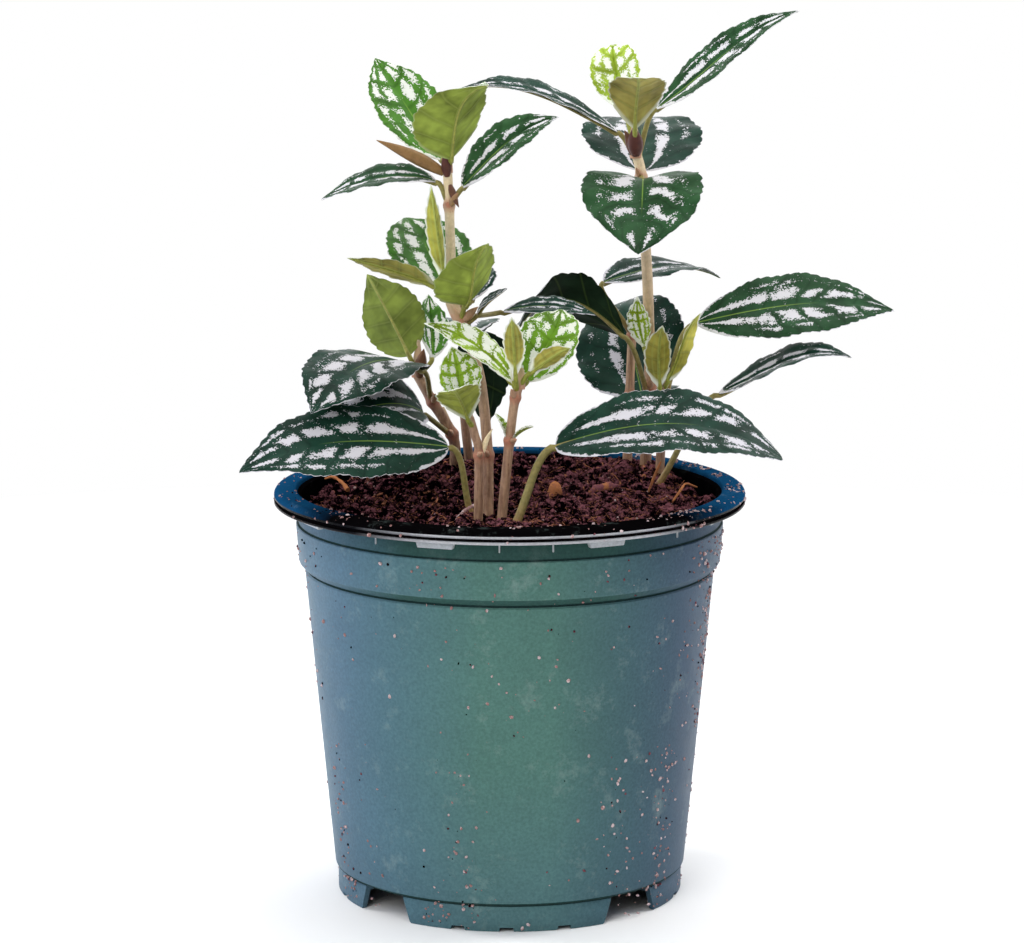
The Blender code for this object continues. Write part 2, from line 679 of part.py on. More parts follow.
def petiole_path(name, leaf):
    """From the stem's axis or from below the soil to the underside of the blade."""
    points, tangents, across = midrib(leaf, np.array([0.0, *MIDRIB_REACH]))
    base, along = points[0], tangents[0]
    if leaf["stem"] == "root":
        start = np.array(ROOTS[name])
    else:
        start = point_on_stem(leaf["stem"], leaf["node_height"])
    reach = np.linalg.norm(base - start)
    first = start + (base - start) * PETIOLE_LEAVING
    second = base - along * reach * PETIOLE_ARRIVING
    path = []
    for step in range(PETIOLE_STEPS):
        t = step / PETIOLE_STEPS
        path.append(
            (1 - t) ** 3 * start + 3 * (1 - t) ** 2 * t * first + 3 * (1 - t) * t**2 * second + t**3 * base
        )
    if leaf["stem"] == "root":
        lean = path[1] - path[0]
        path.insert(0, start - lean / lean[2] * STEM_ROOT_DEPTH)
    under = np.cross(tangents, across) * MIDRIB_DROP
    path += list(points + under)
    radii = [PETIOLE_RADIUS] * (len(path) - 1) + [PETIOLE_END_RADIUS]
    return path, radii


def leaf_record(name):
    return dict(zip(LEAF_FIELDS, LEAVES[name]), fullness=FULLNESS.get(name, OUTLINE_FULLNESS))


def make_leaf(name, collection, helpers, clearances):
    leaf = leaf_record(name)
    obj = blade(name, leaf, collection)
    path, radii = petiole_path(name, leaf)
    petiole = hide_helper(tube(name + "_petiole", path, radii, PETIOLE_SIDES, helpers))
    combine(obj, "UNION", [petiole])
    if leaf["stem"] in clearances:
        combine(obj, "DIFFERENCE", clearances[leaf["stem"]].objects)
        keep_largest_body(obj)
    shade_round(obj, SOFT_ANGLE)
    give_material(obj, LEAF_COLOUR)
    return obj


def make_stem(name, collection, helpers):
    points, radii = stem_sections(name)
    stem = tube(name, points, radii, STEM_SIDES, collection)
    extras = new_collection(name + " shoots", helpers)
    for index, (owner, start, end, radius, end_radius) in enumerate(SHOOTS):
        if owner == name:
            hide_helper(shoot_tube(f"{name}_shoot_{index}", start, end, radius, end_radius, extras))
    for index, (owner, base, heading, rise, length, width) in enumerate(TINY_LEAVES):
        if owner == name:
            leaf = dict(
                TINY_LEAF_SHAPE, base=base, heading=heading, rise=rise, length=length, width=width
            )
            apply_modifiers(hide_helper(blade(f"{name}_tiny_leaf_{index}", leaf, extras)))
    combine(stem, "UNION", extras.objects)
    shade_round(stem, SOFT_ANGLE)
    give_material(stem, STEM_COLOUR)
    return stem


def make_clearance(name, helpers):
    """Solids a little larger than a stem and its shoots, which cut the gap that leaves keep to it."""
    solids = new_collection(name + " clearance", helpers)
    points, radii = stem_sections(name)
    grown = [radius + CLEARANCE for radius in radii]
    hide_helper(tube(name + "_clearance", points, grown, STEM_SIDES, solids))
    for index, (owner, start, end, radius, end_radius) in enumerate(SHOOTS):
        if owner == name:
            wide, narrow = radius + CLEARANCE, end_radius + CLEARANCE
            hide_helper(shoot_tube(f"{name}_clearance_{index}", start, end, wide, narrow, solids))
    return solids


def soil_profile():
    """From the middle of the surface out to the pot's wall, then down inside the pot to its floor."""
    inside = [(radius - CLEARANCE, height) for radius, height in pot_inner_profile()]
    neck, body_top, corner = inside[8], inside[5], inside[4]
    floor = [(radius, height + CLEARANCE) for radius, height in reversed(inside[1:4])]
    top = [(radius, SOIL_LEVEL) for radius in SOIL_RINGS]
    middle = (0.0, FLOOR_WALL + CLEARANCE)
    return top + [(SOIL_EDGE_RADIUS, SOIL_LEVEL), neck, body_top, corner, *floor, middle]


def make_soil(collection, helpers):
    rough = turned("soil_turned", soil_profile(), SOIL_SIDES, collection)
    mesh = evaluated_mesh(rough)
    bpy.data.objects.remove(rough)
    for vert in mesh.vertices:
        if vert.co.z > (SOIL_LEVEL - 0.1) * MM:
            vert.co.z += soil_rise(vert.co.x / MM, vert.co.y / MM) * MM
    soil = new_object("soil", mesh, collection)
    holes = new_collection("Stem holes", helpers)
    for name, (radius, _, _) in STEMS.items():
        path = stem_path(name)
        along = path[1] - path[0]
        bottom = path[0] - along / along[2] * HOLE_EXTRA_DEPTH
        points = (bottom, path[1], path[1] + along / 2)
        hide_helper(tube(name + "_hole", points, [radius + CLEARANCE] * 3, STEM_SIDES, holes))
    for name in ROOTS:
        path, _ = petiole_path(name, leaf_record(name))
        along = path[1] - path[0]
        bottom = path[0] - along / along[2] * HOLE_EXTRA_DEPTH
        wide = [PETIOLE_RADIUS + 1.5 * CLEARANCE] * 3
        hide_helper(tube(name + "_hole", (bottom, path[1], path[2]), wide, PETIOLE_SIDES, holes))
    combine(soil, "DIFFERENCE", holes.objects)
    shade_round(soil, SOFT_ANGLE)
    give_material(soil, SOIL_COLOUR)
    return soil


def main():
    clear_scene()
    plant = new_collection("Potted aluminium plant")
    helpers = new_collection("Cutters and joined pieces")
    clearances = {}
    for name in STEMS:
        make_stem(name, plant, helpers)
        clearances[name] = make_clearance(name, helpers)
    for name in LEAVES:
        make_leaf(name, plant, helpers, clearances)
    make_soil(plant, helpers)
    make_pot(plant, helpers)


main()
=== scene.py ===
"""Looks of the potted aluminium plant: fine leaves, stems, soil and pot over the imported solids.

Lengths in the tables and functions are in millimetres and become metres through MM; angles are in
degrees. The pot's axis is the Z axis, the floor is z = 0, and -Y is the front.
"""

import math

import bmesh
import bpy
import numpy as np
from bpy.props import FloatProperty, FloatVectorProperty, IntProperty, PointerProperty
from mathutils import Matrix, Vector, noise


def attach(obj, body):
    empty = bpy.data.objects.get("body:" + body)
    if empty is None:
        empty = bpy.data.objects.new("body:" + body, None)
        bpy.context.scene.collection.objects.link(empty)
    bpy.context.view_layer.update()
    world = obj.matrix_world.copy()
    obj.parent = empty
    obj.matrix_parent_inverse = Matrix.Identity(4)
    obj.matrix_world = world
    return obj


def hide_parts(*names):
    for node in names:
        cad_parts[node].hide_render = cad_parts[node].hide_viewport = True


bl_info = {
    "name": "Potted aluminium plant",
    "version": (1, 0, 0),
    "blender": (4, 5, 0),
    "location": "3D View > Sidebar > Plant",
    "description": "Builds the visible leaves, stems, soil and nursery pot of a potted aluminium plant",
    "category": "Object",
}

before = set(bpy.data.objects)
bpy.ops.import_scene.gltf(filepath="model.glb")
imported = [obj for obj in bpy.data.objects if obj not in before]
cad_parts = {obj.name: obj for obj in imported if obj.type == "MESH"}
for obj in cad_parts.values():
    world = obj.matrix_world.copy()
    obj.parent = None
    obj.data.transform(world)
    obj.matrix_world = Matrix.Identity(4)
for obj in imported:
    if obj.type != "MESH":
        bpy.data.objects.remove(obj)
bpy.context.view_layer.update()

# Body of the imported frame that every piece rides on: the plant has no moving parts
BODY = "root"
MM = 0.001
WHITE = (1.0, 1.0, 1.0)

# Edges sharper than these angles aren't shaded smooth
PIECE_SHARP = 70.0
POT_SHARP = 40.0
LUG_SHARP = 50.0
ALL_SMOOTH = 180.0

# Camera, worked out from the ellipse of the rim and the height of the pot in the photo
CAMERA_TARGET = (0.83, 0.0, 149.1)
CAMERA_DISTANCE = 1400.0
CAMERA_ELEVATION = 10.2
CAMERA_LENS = 140.5
SENSOR_WIDTH = 36.0

# Distances from the plant where the floor starts to fade to white and where it is white
WHITE_FROM = 350.0
WHITE_FULL = 800.0

# Paper: half its width, where it starts in front, where its bend begins, and how high it goes
SWEEP_HALF_WIDTH = 3000.0
SWEEP_FRONT = -2200.0
SWEEP_BACK = 1000.0
SWEEP_BEND = 600.0
SWEEP_TOP = 3000.0
SWEEP_STEPS = 12

# Soft square lights: place, size, setting and share of the power, setting of the colour, and aim
MIDDLE = (0.0, 0.0, 140.0)
BACKDROP = (0.0, 1600.0, 700.0)
LIGHTS = {
    "Key": ((-550.0, -1250.0, 950.0), 1000.0, "key", 1.0, "white", MIDDLE),
    "Top": ((150.0, 100.0, 1200.0), 900.0, "key", 0.5, "white", MIDDLE),
    "Left": ((-900.0, -150.0, 120.0), 450.0, "side", 1.0, "side_colour", MIDDLE),
    "Right": ((900.0, -150.0, 120.0), 450.0, "side", 0.5, "side_colour", MIDDLE),
    "Backdrop left": ((-1500.0, 600.0, 1300.0), 1000.0, "backdrop", 1.0, "white", BACKDROP),
    "Backdrop right": ((1500.0, 600.0, 1300.0), 1000.0, "backdrop", 1.0, "white", BACKDROP),
}

# Each stem: radius, the points of its axis from the soil up, and the heights of its nodes
STEMS = {
    "stem_tall_left": (
        1.8,
        (
            (-7.4, -31.0, 138.5),
            (-7.5, -29.0, 160.0),
            (-9.4, -27.0, 182.0),
            (-11.9, -26.0, 193.0),
            (-16.6, -25.0, 206.0),
            (-19.4, -24.0, 214.0),
            (-20.3, -22.0, 236.0),
            (-20.6, -21.0, 245.0),
            (-21.2, -19.5, 258.0),
        ),
        (160.0, 206.0, 245.0),
    ),
    "stem_short_front": (
        1.6,
        ((-10.7, -45.0, 138.5), (-10.4, -46.0, 163.0), (-11.7, -47.0, 170.0), (-13.4, -47.0, 176.0)),
        (163.0,),
    ),
    "stem_middle_front": (
        1.7,
        ((-2.8, -39.0, 138.5), (0.0, -40.0, 167.0), (1.8, -41.0, 181.0), (3.4, -41.0, 186.5)),
        (167.0, 182.0),
    ),
    "stem_forked_left": (
        2.0,
        ((-19.6, 42.0, 142.5), (-20.4, 38.0, 155.0), (-27.6, 36.0, 168.0), (-33.4, 38.0, 178.0)),
        (156.0, 168.0),
    ),
    "stem_pink_back": (
        1.7,
        ((-14.6, 53.0, 142.5), (-16.6, 50.0, 163.0), (-16.8, 47.0, 184.0)),
        (182.0,),
    ),
    "stem_tall_right": (
        2.0,
        (
            (49.0, 45.0, 142.5),
            (50.4, 44.0, 172.0),
            (49.6, 42.0, 204.0),
            (48.6, 40.0, 222.0),
            (46.6, 34.0, 249.0),
            (44.6, 32.0, 258.0),
        ),
        (172.0, 249.0),
    ),
    "stem_right_back": (
        1.7,
        ((42.6, 50.0, 142.5), (43.4, 51.0, 168.0), (44.2, 51.0, 192.0)),
        (168.0, 190.0),
    ),
    "stem_right_short": (
        1.7,
        ((54.0, 38.0, 142.0), (54.6, 38.0, 158.0), (54.6, 38.0, 172.0)),
        (170.0,),
    ),
}

# Buds and side shoots fused to a stem: stem, start, end, radius at each end
SHOOTS = (
    ("stem_tall_left", (-21.2, -19.5, 256.0), (-21.6, -19.0, 267.0), 1.9, 0.5),
    ("stem_tall_left", (-16.6, -25.0, 204.5), (-21.0, -27.5, 212.5), 1.6, 0.9),
    ("stem_tall_right", (44.6, 32.0, 256.0), (43.8, 31.6, 269.0), 2.1, 0.6),
    ("stem_forked_left", (-20.4, 38.0, 154.0), (-24.6, 41.0, 165.0), 1.6, 1.1),
    ("stem_forked_left", (-33.4, 38.0, 176.5), (-32.6, 38.6, 190.0), 1.8, 0.5),
    ("stem_middle_front", (3.4, -41.0, 185.0), (4.2, -41.0, 192.0), 1.8, 0.5),
    ("stem_right_short", (54.6, 38.0, 171.0), (54.4, 38.4, 179.0), 1.6, 0.5),
    ("stem_short_front", (-13.4, -47.0, 175.0), (-14.4, -46.6, 180.0), 1.3, 0.5),
)

# Tiny leaves fused to a stem: stem, base, heading, rise, length, width
TINY_LEAVES = (
    ("stem_middle_front", (-1.2, -40.0, 167.6), 150.0, 62.0, 9.5, 4.6),
    ("stem_middle_front", (1.2, -40.4, 167.4), -12.0, 34.0, 8.5, 5.0),
)

# Each leaf: stem and height of its node, base of the blade, heading (0 is +X, 90 is away from the
# front), rise of the chord, length, width, roll, bow of the midrib near the base and near the tip,
# fold along the midrib, twist and sweep
LEAF_FIELDS = (
    "stem", "node_height", "base", "heading", "rise", "length", "width",
    "roll", "bow", "fold", "twist", "sweep",
)
LEAVES = {
    "leaf_tall_left_top_back": (
        "stem_tall_left", 257.0, (-23, -16, 260), 131, 42, 49, 25, -17, (0.00, 0.06), 11, 7, -0.03),
    "leaf_tall_left_top_front": (
        "stem_tall_left", 257.0, (-20, -24, 261), -70, 36, 48, 29, 10, (-0.02, 0.17), 20, -5, 0.14),
    "leaf_tall_left_upper_left": (
        "stem_tall_left", 245.0, (-25, -20, 253), 169, -10, 41, 20, -15, (0.16, 0.10), 9, 4, 0.02),
    "leaf_tall_left_upper_right": (
        "stem_tall_left", 245.0, (-16, -20, 251), 20, 33, 42, 19, 23, (0.06, 0.16), 14, -7, -0.04),
    "leaf_tall_left_upright": (
        "stem_tall_left", 212.0, (-22, -30, 220), -150, 81, 34, 9, 80, (0.02, 0.01), 46, 2, 0.00),
    "leaf_tall_left_middle_back": (
        "stem_tall_left", 207.0, (-22, -18, 215), 112, 28, 45, 30, -9, (0.00, 0.13), 9, -5, 0.03),
    "leaf_tall_left_middle_left": (
        "stem_tall_left", 206.0, (-26, -24, 218), -164, 19, 32, 15, 30, (0.04, 0.02), 5, 8, 0.00),
    "leaf_tall_left_middle_front": (
        "stem_tall_left", 206.0, (-15, -31, 212), -70, 45, 34, 27, 17, (-0.14, 0.08), 20, -9, 0.12),
    "leaf_tall_left_middle_right": (
        "stem_tall_left", 204.0, (-11, -25, 208), -12, 42, 14, 9, 15, (0.14, 0.02), 10, 0, 0.00),
    "leaf_tall_left_middle_dark": (
        "stem_tall_left", 210.0, (-13, -18, 212), 55, 38, 16, 13, 0, (0.10, 0.10), 10, 0, 0.00),
    "leaf_tall_left_lower_right": (
        "stem_tall_left", 207.0, (-2, -3, 206), -3, -2, 32, 15, 16, (0.10, 0.12), 7, 0, 0.00),
    "leaf_tall_left_lower_back": (
        "stem_tall_left", 199.0, (-13, -12, 200), 77, -58, 44, 21, 7, (0.28, 0.02), 25, 6, -0.05),
    "leaf_forked_upright_left": (
        "stem_forked_left", 177.0, (-36, 35, 185), 130, 48, 36, 25, 130, (0.00, -0.09), 25, 4, -0.02),
    "leaf_forked_upright_right": (
        "stem_forked_left", 177.0, (-27.8, 41.2, 183), 96, 51, 27, 14, 24, (0.03, 0.01), 20, -5, 0.00),
    "leaf_forked_drooping": (
        "stem_forked_left", 169.0, (-31, 20, 182), -122, -5, 69, 36, 0, (0.20, 0.13), 2, 22, 0.06),
    "leaf_forked_low": (
        "stem_forked_left", 155.0, (-30.5, 22, 166), -158, -4, 44, 32, -36, (0.34, 0.16), 14, 0, -0.04),
    "leaf_low_left": (
        "root", 0.0, (-21, -24, 162), -163, -4, 74, 36, -40, (0.05, 0.09), 2, -14, 0.11),
    "leaf_short_front_upright": (
        "stem_short_front", 172.0, (-16, -44, 181), 135, 74, 19, 16, -25, (0.08, 0.10), 12, -6, 0.02),
    "leaf_short_front_olive": (
        "stem_short_front", 173.0, (-14, -51, 176), -99, 27, 32, 16, 17, (0.14, 0.06), 18, 0, 0.00),
    "leaf_middle_front_left": (
        "stem_middle_front", 184.0, (1, -41, 187), 178, 34, 36, 13, -35, (0.16, 0.16), 18, 6, 0.00),
    "leaf_middle_front_right": (
        "stem_middle_front", 184.5, (6, -38, 187), 60, 43, 32, 22, 34, (0.13, 0.20), 22, 20, 0.06),
    "leaf_middle_front_upright": (
        "stem_middle_front", 184.0, (2, -47, 191), -112, 80, 20, 8, 20, (0.09, 0.09), 22, 0, 0.00),
    "leaf_middle_front_small": (
        "stem_middle_front", 185.0, (7, -44, 191), -31, 31, 19, 9, -40, (0.01, 0.09), 15, 0, 0.00),
    "leaf_low_right": (
        "root", 0.0, (15.5, -40, 165), 3, -4, 78, 36, 27, (0.17, 0.25), 6, 0, 0.00),
    "leaf_tall_right_arching_left": (
        "stem_tall_right", 253.0, (38, 33, 265), -168, 15, 60, 22, -14, (0.07, 0.19), 12, -4, 0.02),
    "leaf_tall_right_far_right": (
        "stem_tall_right", 256.0, (52, 36, 273), 5, 34, 61, 19, 30, (-0.04, 0.10), 12, 6, -0.05),
    "leaf_tall_right_top_back": (
        "stem_tall_right", 257.5, (41, 41, 272), 97, 37, 35, 20, -22, (0.00, 0.20), 24, -7, -0.02),
    "leaf_tall_right_top_front": (
        "stem_tall_right", 257.0, (44, 25, 267), -90, 36, 34, 21, 5, (0.24, 0.10), 17, 8, -0.05),
    "leaf_tall_right_heart_front": (
        "stem_tall_right", 249.0, (47, 24, 249), -94, -26, 48, 44, 0, (0.24, 0.06), 15, 0, -0.02),
    "leaf_tall_right_heart_back": (
        "stem_tall_right", 249.0, (47, 43, 250), 89, 13, 58, 44, 5, (0.04, 0.17), 4, 7, 0.00),
    "leaf_right_arching": (
        "stem_tall_right", 168.0, (40.5, 30, 193), -152, -1, 46, 29, 40, (0.60, 0.40), 8, 0, 0.00),
    "leaf_right_big_back": (
        "stem_tall_right", 163.0, (48, 53, 167), 91, 30, 58, 42, -17, (-0.08, 0.30), 4, 6, -0.06),
    "leaf_right_back_drooping": (
        "stem_right_back", 190.0, (34, 52, 209), 30, -2, 50, 25, 16, (0.07, 0.15), 6, 18, -0.08),
    "leaf_right_back_hidden": (
        "stem_right_back", 156.0, (45, 60, 160), 75, 0, 44, 24, 0, (0.14, 0.16), 8, 0, 0.00),
    "leaf_right_small_upright": (
        "stem_right_short", 171.0, (48, 36, 188), -130, 78, 19, 9, -142, (-0.16, -0.13), 20, 0, -0.08),
    "leaf_right_young_left": (
        "stem_right_short", 170.5, (53.6, 32.2, 174), -80, 80, 23, 11, 0, (0.10, 0.12), 26, 0, 0.03),
    "leaf_right_young_right": (
        "stem_right_short", 171.0, (57, 35, 176), -5, 65, 27, 15, -168, (0.03, -0.13), 11, -10, 0.01),
    "leaf_right_big_side": (
        "stem_right_short", 166.0, (67, 46, 195), 4, 3, 72, 32, 37, (0.08, 0.15), 2, 2, 0.00),
    "leaf_low_back_right": (
        "root", 0.0, (75, 36, 171), -14, 17, 50, 22, 16, (0.00, 0.18), 11, 3, -0.12),
    "leaf_pink_back_hidden": (
        "stem_pink_back", 183.0, (-17, 56, 188), 84, -8, 44, 22, 0, (0.16, 0.18), 8, 0, 0.00),
}

# How full the outline is in the leaves that are blunter than the others: less is fuller
FULLNESS = {
    "leaf_low_right": 0.5,
    "leaf_low_left": 0.62,
    "leaf_tall_right_heart_front": 0.62,
    "leaf_tall_right_heart_back": 0.62,
    "leaf_forked_low": 0.6,
}

# Where the petioles that rise straight from the soil leave it
ROOTS = {
    "leaf_low_left": (-13.4, -22.5, 138.5),
    "leaf_low_right": (1.4, -49.5, 138.5),
    "leaf_low_back_right": (53.5, 25.0, 140.5),
}

# How green the top of a stem is where it isn't like most of them
GREEN_TOP = {
    "stem_tall_left": 0.95,
    "stem_tall_right": 0.9,
    "stem_middle_front": 0.8,
}

# Scales and dry bracts at the nodes: stem, height, heading, rise, length, width, dryness
SCALES = (
    ("stem_tall_left", 256.0, 187.0, 33.0, 21.0, 4.6, 0.45),
    ("stem_tall_left", 255.0, -100.0, 80.0, 9.0, 3.6, 1.0),
    ("stem_tall_left", 252.0, -60.0, -60.0, 8.0, 2.6, 0.9),
    ("stem_tall_left", 245.0, -60.0, 55.0, 6.0, 2.6, 0.3),
    ("stem_tall_left", 206.0, -40.0, 50.0, 7.0, 3.0, 0.2),
    ("stem_tall_left", 160.0, -100.0, 35.0, 4.0, 2.4, 0.1),
    ("stem_short_front", 163.0, -80.0, 30.0, 3.2, 2.2, 0.0),
    ("stem_short_front", 163.0, 10.0, 82.0, 9.0, 1.9, -1.0),
    ("stem_middle_front", 182.0, -110.0, 60.0, 4.0, 2.2, 0.1),
    ("stem_middle_front", 167.0, -60.0, 20.0, 3.0, 2.0, 0.0),
    ("stem_forked_left", 177.0, -70.0, 78.0, 11.0, 4.4, 0.8),
    ("stem_forked_left", 168.0, -80.0, 50.0, 5.0, 2.4, 0.2),
    ("stem_forked_left", 156.0, -100.0, 35.0, 4.0, 2.4, 0.1),
    ("stem_tall_right", 257.0, -100.0, 75.0, 11.0, 5.6, 1.0),
    ("stem_tall_right", 257.0, -150.0, 82.0, 9.0, 3.6, 0.9),
    ("stem_tall_right", 249.0, -110.0, 50.0, 5.0, 2.2, 0.2),
    ("stem_tall_right", 172.0, -90.0, 45.0, 5.0, 2.6, 0.2),
    ("stem_right_short", 170.0, -90.0, 50.0, 5.0, 2.4, 0.3),
)

# Pot. A box is its size away from the axis, across and up, and the place of its middle.
DRAIN_GAP = ((28.5, 18.5, 11.2), (68.25, 0.0, 3.6))
DRAIN_GAPS = 4
DRAIN_WIDENING = 1.42
DRAIN_FIRST_ANGLE = 44.0
FOOT_NOTCH = ((8.0, 4.6, 3.0), (60.9, 0.0, 0.0))
NOTCH_WIDENING = 1.2
NOTCH_OFFSETS = (-16.0, 0.0, 19.0)
LUG = ((2.4, 14.4, 3.4), (74.4, 0.0, 137.5))
LUGS = 8
LUG_NARROWING = 0.86
LUG_FIRST_ANGLE = 25.7
LUG_BEVEL = 0.12
LUG_BEVEL_STEPS = 2
TICK = ((0.7, 0.5, 4.6), (74.2, 0.0, 137.2))
TICK_ANGLES = (-127.3, -92.6, -78.7, -40.0, 31.0, 88.0, 140.0)

# Plastics of the pot, in the order that pot_profile numbers them, with the painted highlight of the
# lugs last: colour, how much dust, roughness, gloss and tinges. A tinge is an axis, the places where it
# starts and is full, and its colour. The tinges paint the cool blue reflection at the sides and back,
# the wall also takes the left side's colour towards its foot, and the lip's painted highlight fades to
# dark at the sides.
PLASTICS = {
    # Outer wall, with painted cool blue reflection at its left and right sides
    "moulded polypropylene": (
        "outer", 0.36, 0.42, 0.1,
        (("Z", 60.0, -70.0, "left"), ("X", -10.0, -58.0, "left"), ("X", 14.0, 60.0, "right")),
    ),
    # Top of the rim: painted dark reflection at the front and painted blue reflection at the sides and back
    "rim polypropylene": ("inner", 0.22, 0.5, 0.0, (("Y", -56.0, -36.0, "rim_reflection"),)),
    # Ribs of the lip: pale grey of painted highlight, fading to the near black of the rim at the sides
    "polished polypropylene": (
        "lip", 0.1, 0.3, 0.05, (("X", -26.0, -52.0, "inner"), ("X", 48.0, 64.0, "inner")),
    ),
    # Painted shade under the lip and the collar, with painted blue reflection at its sides
    "shaded polypropylene": (
        "shaded", 0.1, 0.5, 0.1, (("X", -35.0, -66.0, "left"), ("X", 35.0, 66.0, "right")),
    ),
    # Painted shade in the groove under the collar and in the collar and skirt lines
    "dirty polypropylene": ("groove", 0.1, 0.7, 0.05, ()),
    # Near black: painted shade inside the pot and the painted dark line between the lip's highlights
    "black polypropylene": ("inner", 0.03, 0.6, 0.0, ()),
    # Painted highlight on the lugs and the ticks under the lip
    "worn polypropylene": ("lug", 0.2, 0.35, 0.3, ()),
}

# Soil
SOIL_LEVEL = 138.6
SOIL_RADIUS = 73.4
SOIL_DEPTH = 12.0
SOIL_TINT = 0.4
SOIL_RINGS = 70
SOIL_SIDES = 180
SOIL_PATCH_RADIUS = 72.0
SOIL_PATCH_LINES = 60
# Noise of the lumps in the soil, of the clusters of specks on the pot and of the bumps of what lies
# on the soil: how many to a millimetre, and then the noise's dimension, lacunarity and octaves
SOIL_LUMPS = (0.16, (0.7, 2.1, 5))
SPECK_CLUSTERS = (0.09, (0.8, 2.0, 4))
FIND_BUMPS = 0.45
# Each rise or hollow of the surface: x, y, height, spread
SOIL_MOUNDS = (
    (47.0, 42.0, 5.0, 15.0),
    (-20.0, 44.0, 4.6, 18.0),
    (14.0, 60.0, 3.4, 18.0),
    (0.0, -70.0, 3.0, 20.0),
    (66.0, 24.0, -4.0, 12.0),
    (-66.0, 8.0, -3.5, 16.0),
)

# Things that lie on the soil: the points of the axis, the radii along it, material (0 bark,
# 1 pale grain, 2 fibre) and how light it is
FINDS = (
    (((13.2, 8.0, 140.0), (15.9, 7.7, 140.6), (18.6, 7.2, 139.9)), (0.3, 2.2, 2.9, 2.4, 0.4), 0, 1.9),
    (((28.0, 12.0, 139.6), (33.0, 14.0, 140.6), (38.6, 17.0, 141.0)), (0.5, 1.7, 1.9, 1.6, 0.6), 0, 0.7),
    (
        ((-66.0, 27.0, 141.6), (-63.0, 26.0, 142.4), (-59.5, 21.0, 141.2), (-57.5, 17.0, 139.4)),
        (0.3, 0.55, 0.7, 0.8), 0, 2.2,
    ),
    (
        ((-18.5, -44.0, 140.0), (-16.0, -40.0, 142.2), (-12.0, -33.0, 143.4), (-11.2, -30.0, 142.6)),
        (0.35, 0.5, 0.5, 0.3), 1, 0.9,
    ),
    (((49.0, 10.0, 140.0), (51.0, 11.0, 145.0), (53.4, 12.0, 150.5)), (0.45, 0.6, 0.35), 0, 1.5),
    (
        ((-30.0, 6.0, 140.2), (-27.0, 0.0, 142.0), (-25.0, -8.0, 141.0), (-28.0, -16.0, 139.2)),
        (0.3, 0.4, 0.4, 0.3), 2, 0.9,
    ),
    (
        ((-48.0, 2.0, 139.6), (-44.0, -4.0, 142.0), (-43.0, -12.0, 141.0), (-46.0, -20.0, 139.4)),
        (0.3, 0.4, 0.45, 0.3), 2, 0.8,
    ),
    (
        ((57.0, -6.0, 139.6), (60.0, -2.0, 143.0), (62.0, 4.0, 144.0), (66.0, 8.0, 142.0)),
        (0.3, 0.45, 0.4, 0.3), 0, 2.0,
    ),
    (((2.0, 12.0, 140.0), (8.0, 18.0, 142.6), (14.0, 20.0, 140.4)), (0.3, 0.4, 0.3), 2, 0.7),
)
FIND_SIDES = 9
FIND_STEPS = 5
FIND_UNEVENNESS = 0.4
# How thickly specks lie on average and how much that varies, where the pot gets more of them
# towards its right, and how many more
CLUSTER_MEAN = 0.5
CLUSTER_RANGE = 1.8
SPECKS_RIGHT = (30.0, 75.0)
MORE_TO_RIGHT = 1.3

# What is spread over the soil and over the pot: shape, setting that counts it, seed, smallest and
# largest size, width and height of the lumps in it, and material
SOIL_SPREADS = {
    "soil_crumbs": ("grain", "crumbs", 11, 0.2, 1.3, 1.1111, 1.8, "peat"),
    "soil_bark": ("grain", "bits", 17, 0.3, 1.2, 1.6667, 1.2, "pine bark"),
    "soil_fibres": ("fibre", "fibres", 23, 0.8, 3.4, 3.8462, 2.6, "coir fibre"),
    "soil_perlite": ("grain", "perlite", 5, 0.12, 0.75, 1.1111, 0.7, "perlite"),
}
POT_SPREADS = {
    "pot_specks": ("grain", "specks", 31, 0.1, 0.85, 0.83333, 0.5, "perlite"),
    "pot_dirt": ("grain", "dirt", 37, 0.15, 0.7, 0.83333, 0.5, "peat"),
}

# Bands of the pot that specks lie on, as radius, height and how thickly it is covered
PATCH_SIDES = 180
SPECKED_BANDS = (
    ((75.0, 143.9, 1.0), (78.0, 144.0, 1.3), (81.5, 143.6, 1.6), (82.5, 141.5, 0.8), (82.5, 139.2, 0.25)),
    (
        (74.95, 131.2, 0.8), (74.1, 119.5, 0.55), (71.8, 114.8, 0.3), (66.7, 60.0, 0.14),
        (61.9, 10.4, 0.35), (60.9, 8.0, 0.6), (60.9, 0.8, 0.6),
    ),
)
# Soil spilt on the pot: place, how far it reaches and how thick it lies
SPILLS = (
    ((-56.0, -54.0, 144.0), 7.0, 5.0),
    ((14.0, -77.0, 144.0), 9.0, 1.6),
    ((58.0, -50.0, 144.0), 12.0, 2.2),
    ((76.0, 22.0, 144.0), 14.0, 3.0),
    ((55.0, 58.0, 144.0), 10.0, 3.0),
    ((72.0, -16.0, 122.0), 11.0, 4.0),
    ((66.0, -8.0, 66.0), 12.0, 0.4),
    ((-22.0, -57.0, 2.0), 6.0, 9.0),
    ((34.0, -50.0, 4.0), 7.0, 3.0),
    ((52.0, -32.0, 10.0), 8.0, 4.0),
    ((-56.0, -24.0, 6.0), 7.0, 2.0),
)

# Stems
STEM_SIDES = 20
STEM_RINGS = 140
STEM_ROOT_DEPTH = 16.0
# How the radius falls from the foot of a stem to its top, and how much wider it is at a node
STEM_TAPER = 0.15
NODE_RING, NODE_RING_HEIGHT = 0.3, 1.3
NODE_COLLAR, NODE_COLLAR_HEIGHT = 0.05, 3.2
STEM_RIDGES = 0.05
# Heights between which a stem turns from brown to green, and how green most of them get
GREENING = (150.0, 262.0)
USUAL_GREEN = 0.6
# Buds and side shoots: how much they bulge in the middle, and how green they are
SHOOT_SIDES = 12
SHOOT_RINGS = 9
SHOOT_BULGE = 0.25
SHOOT_GREEN = 0.55
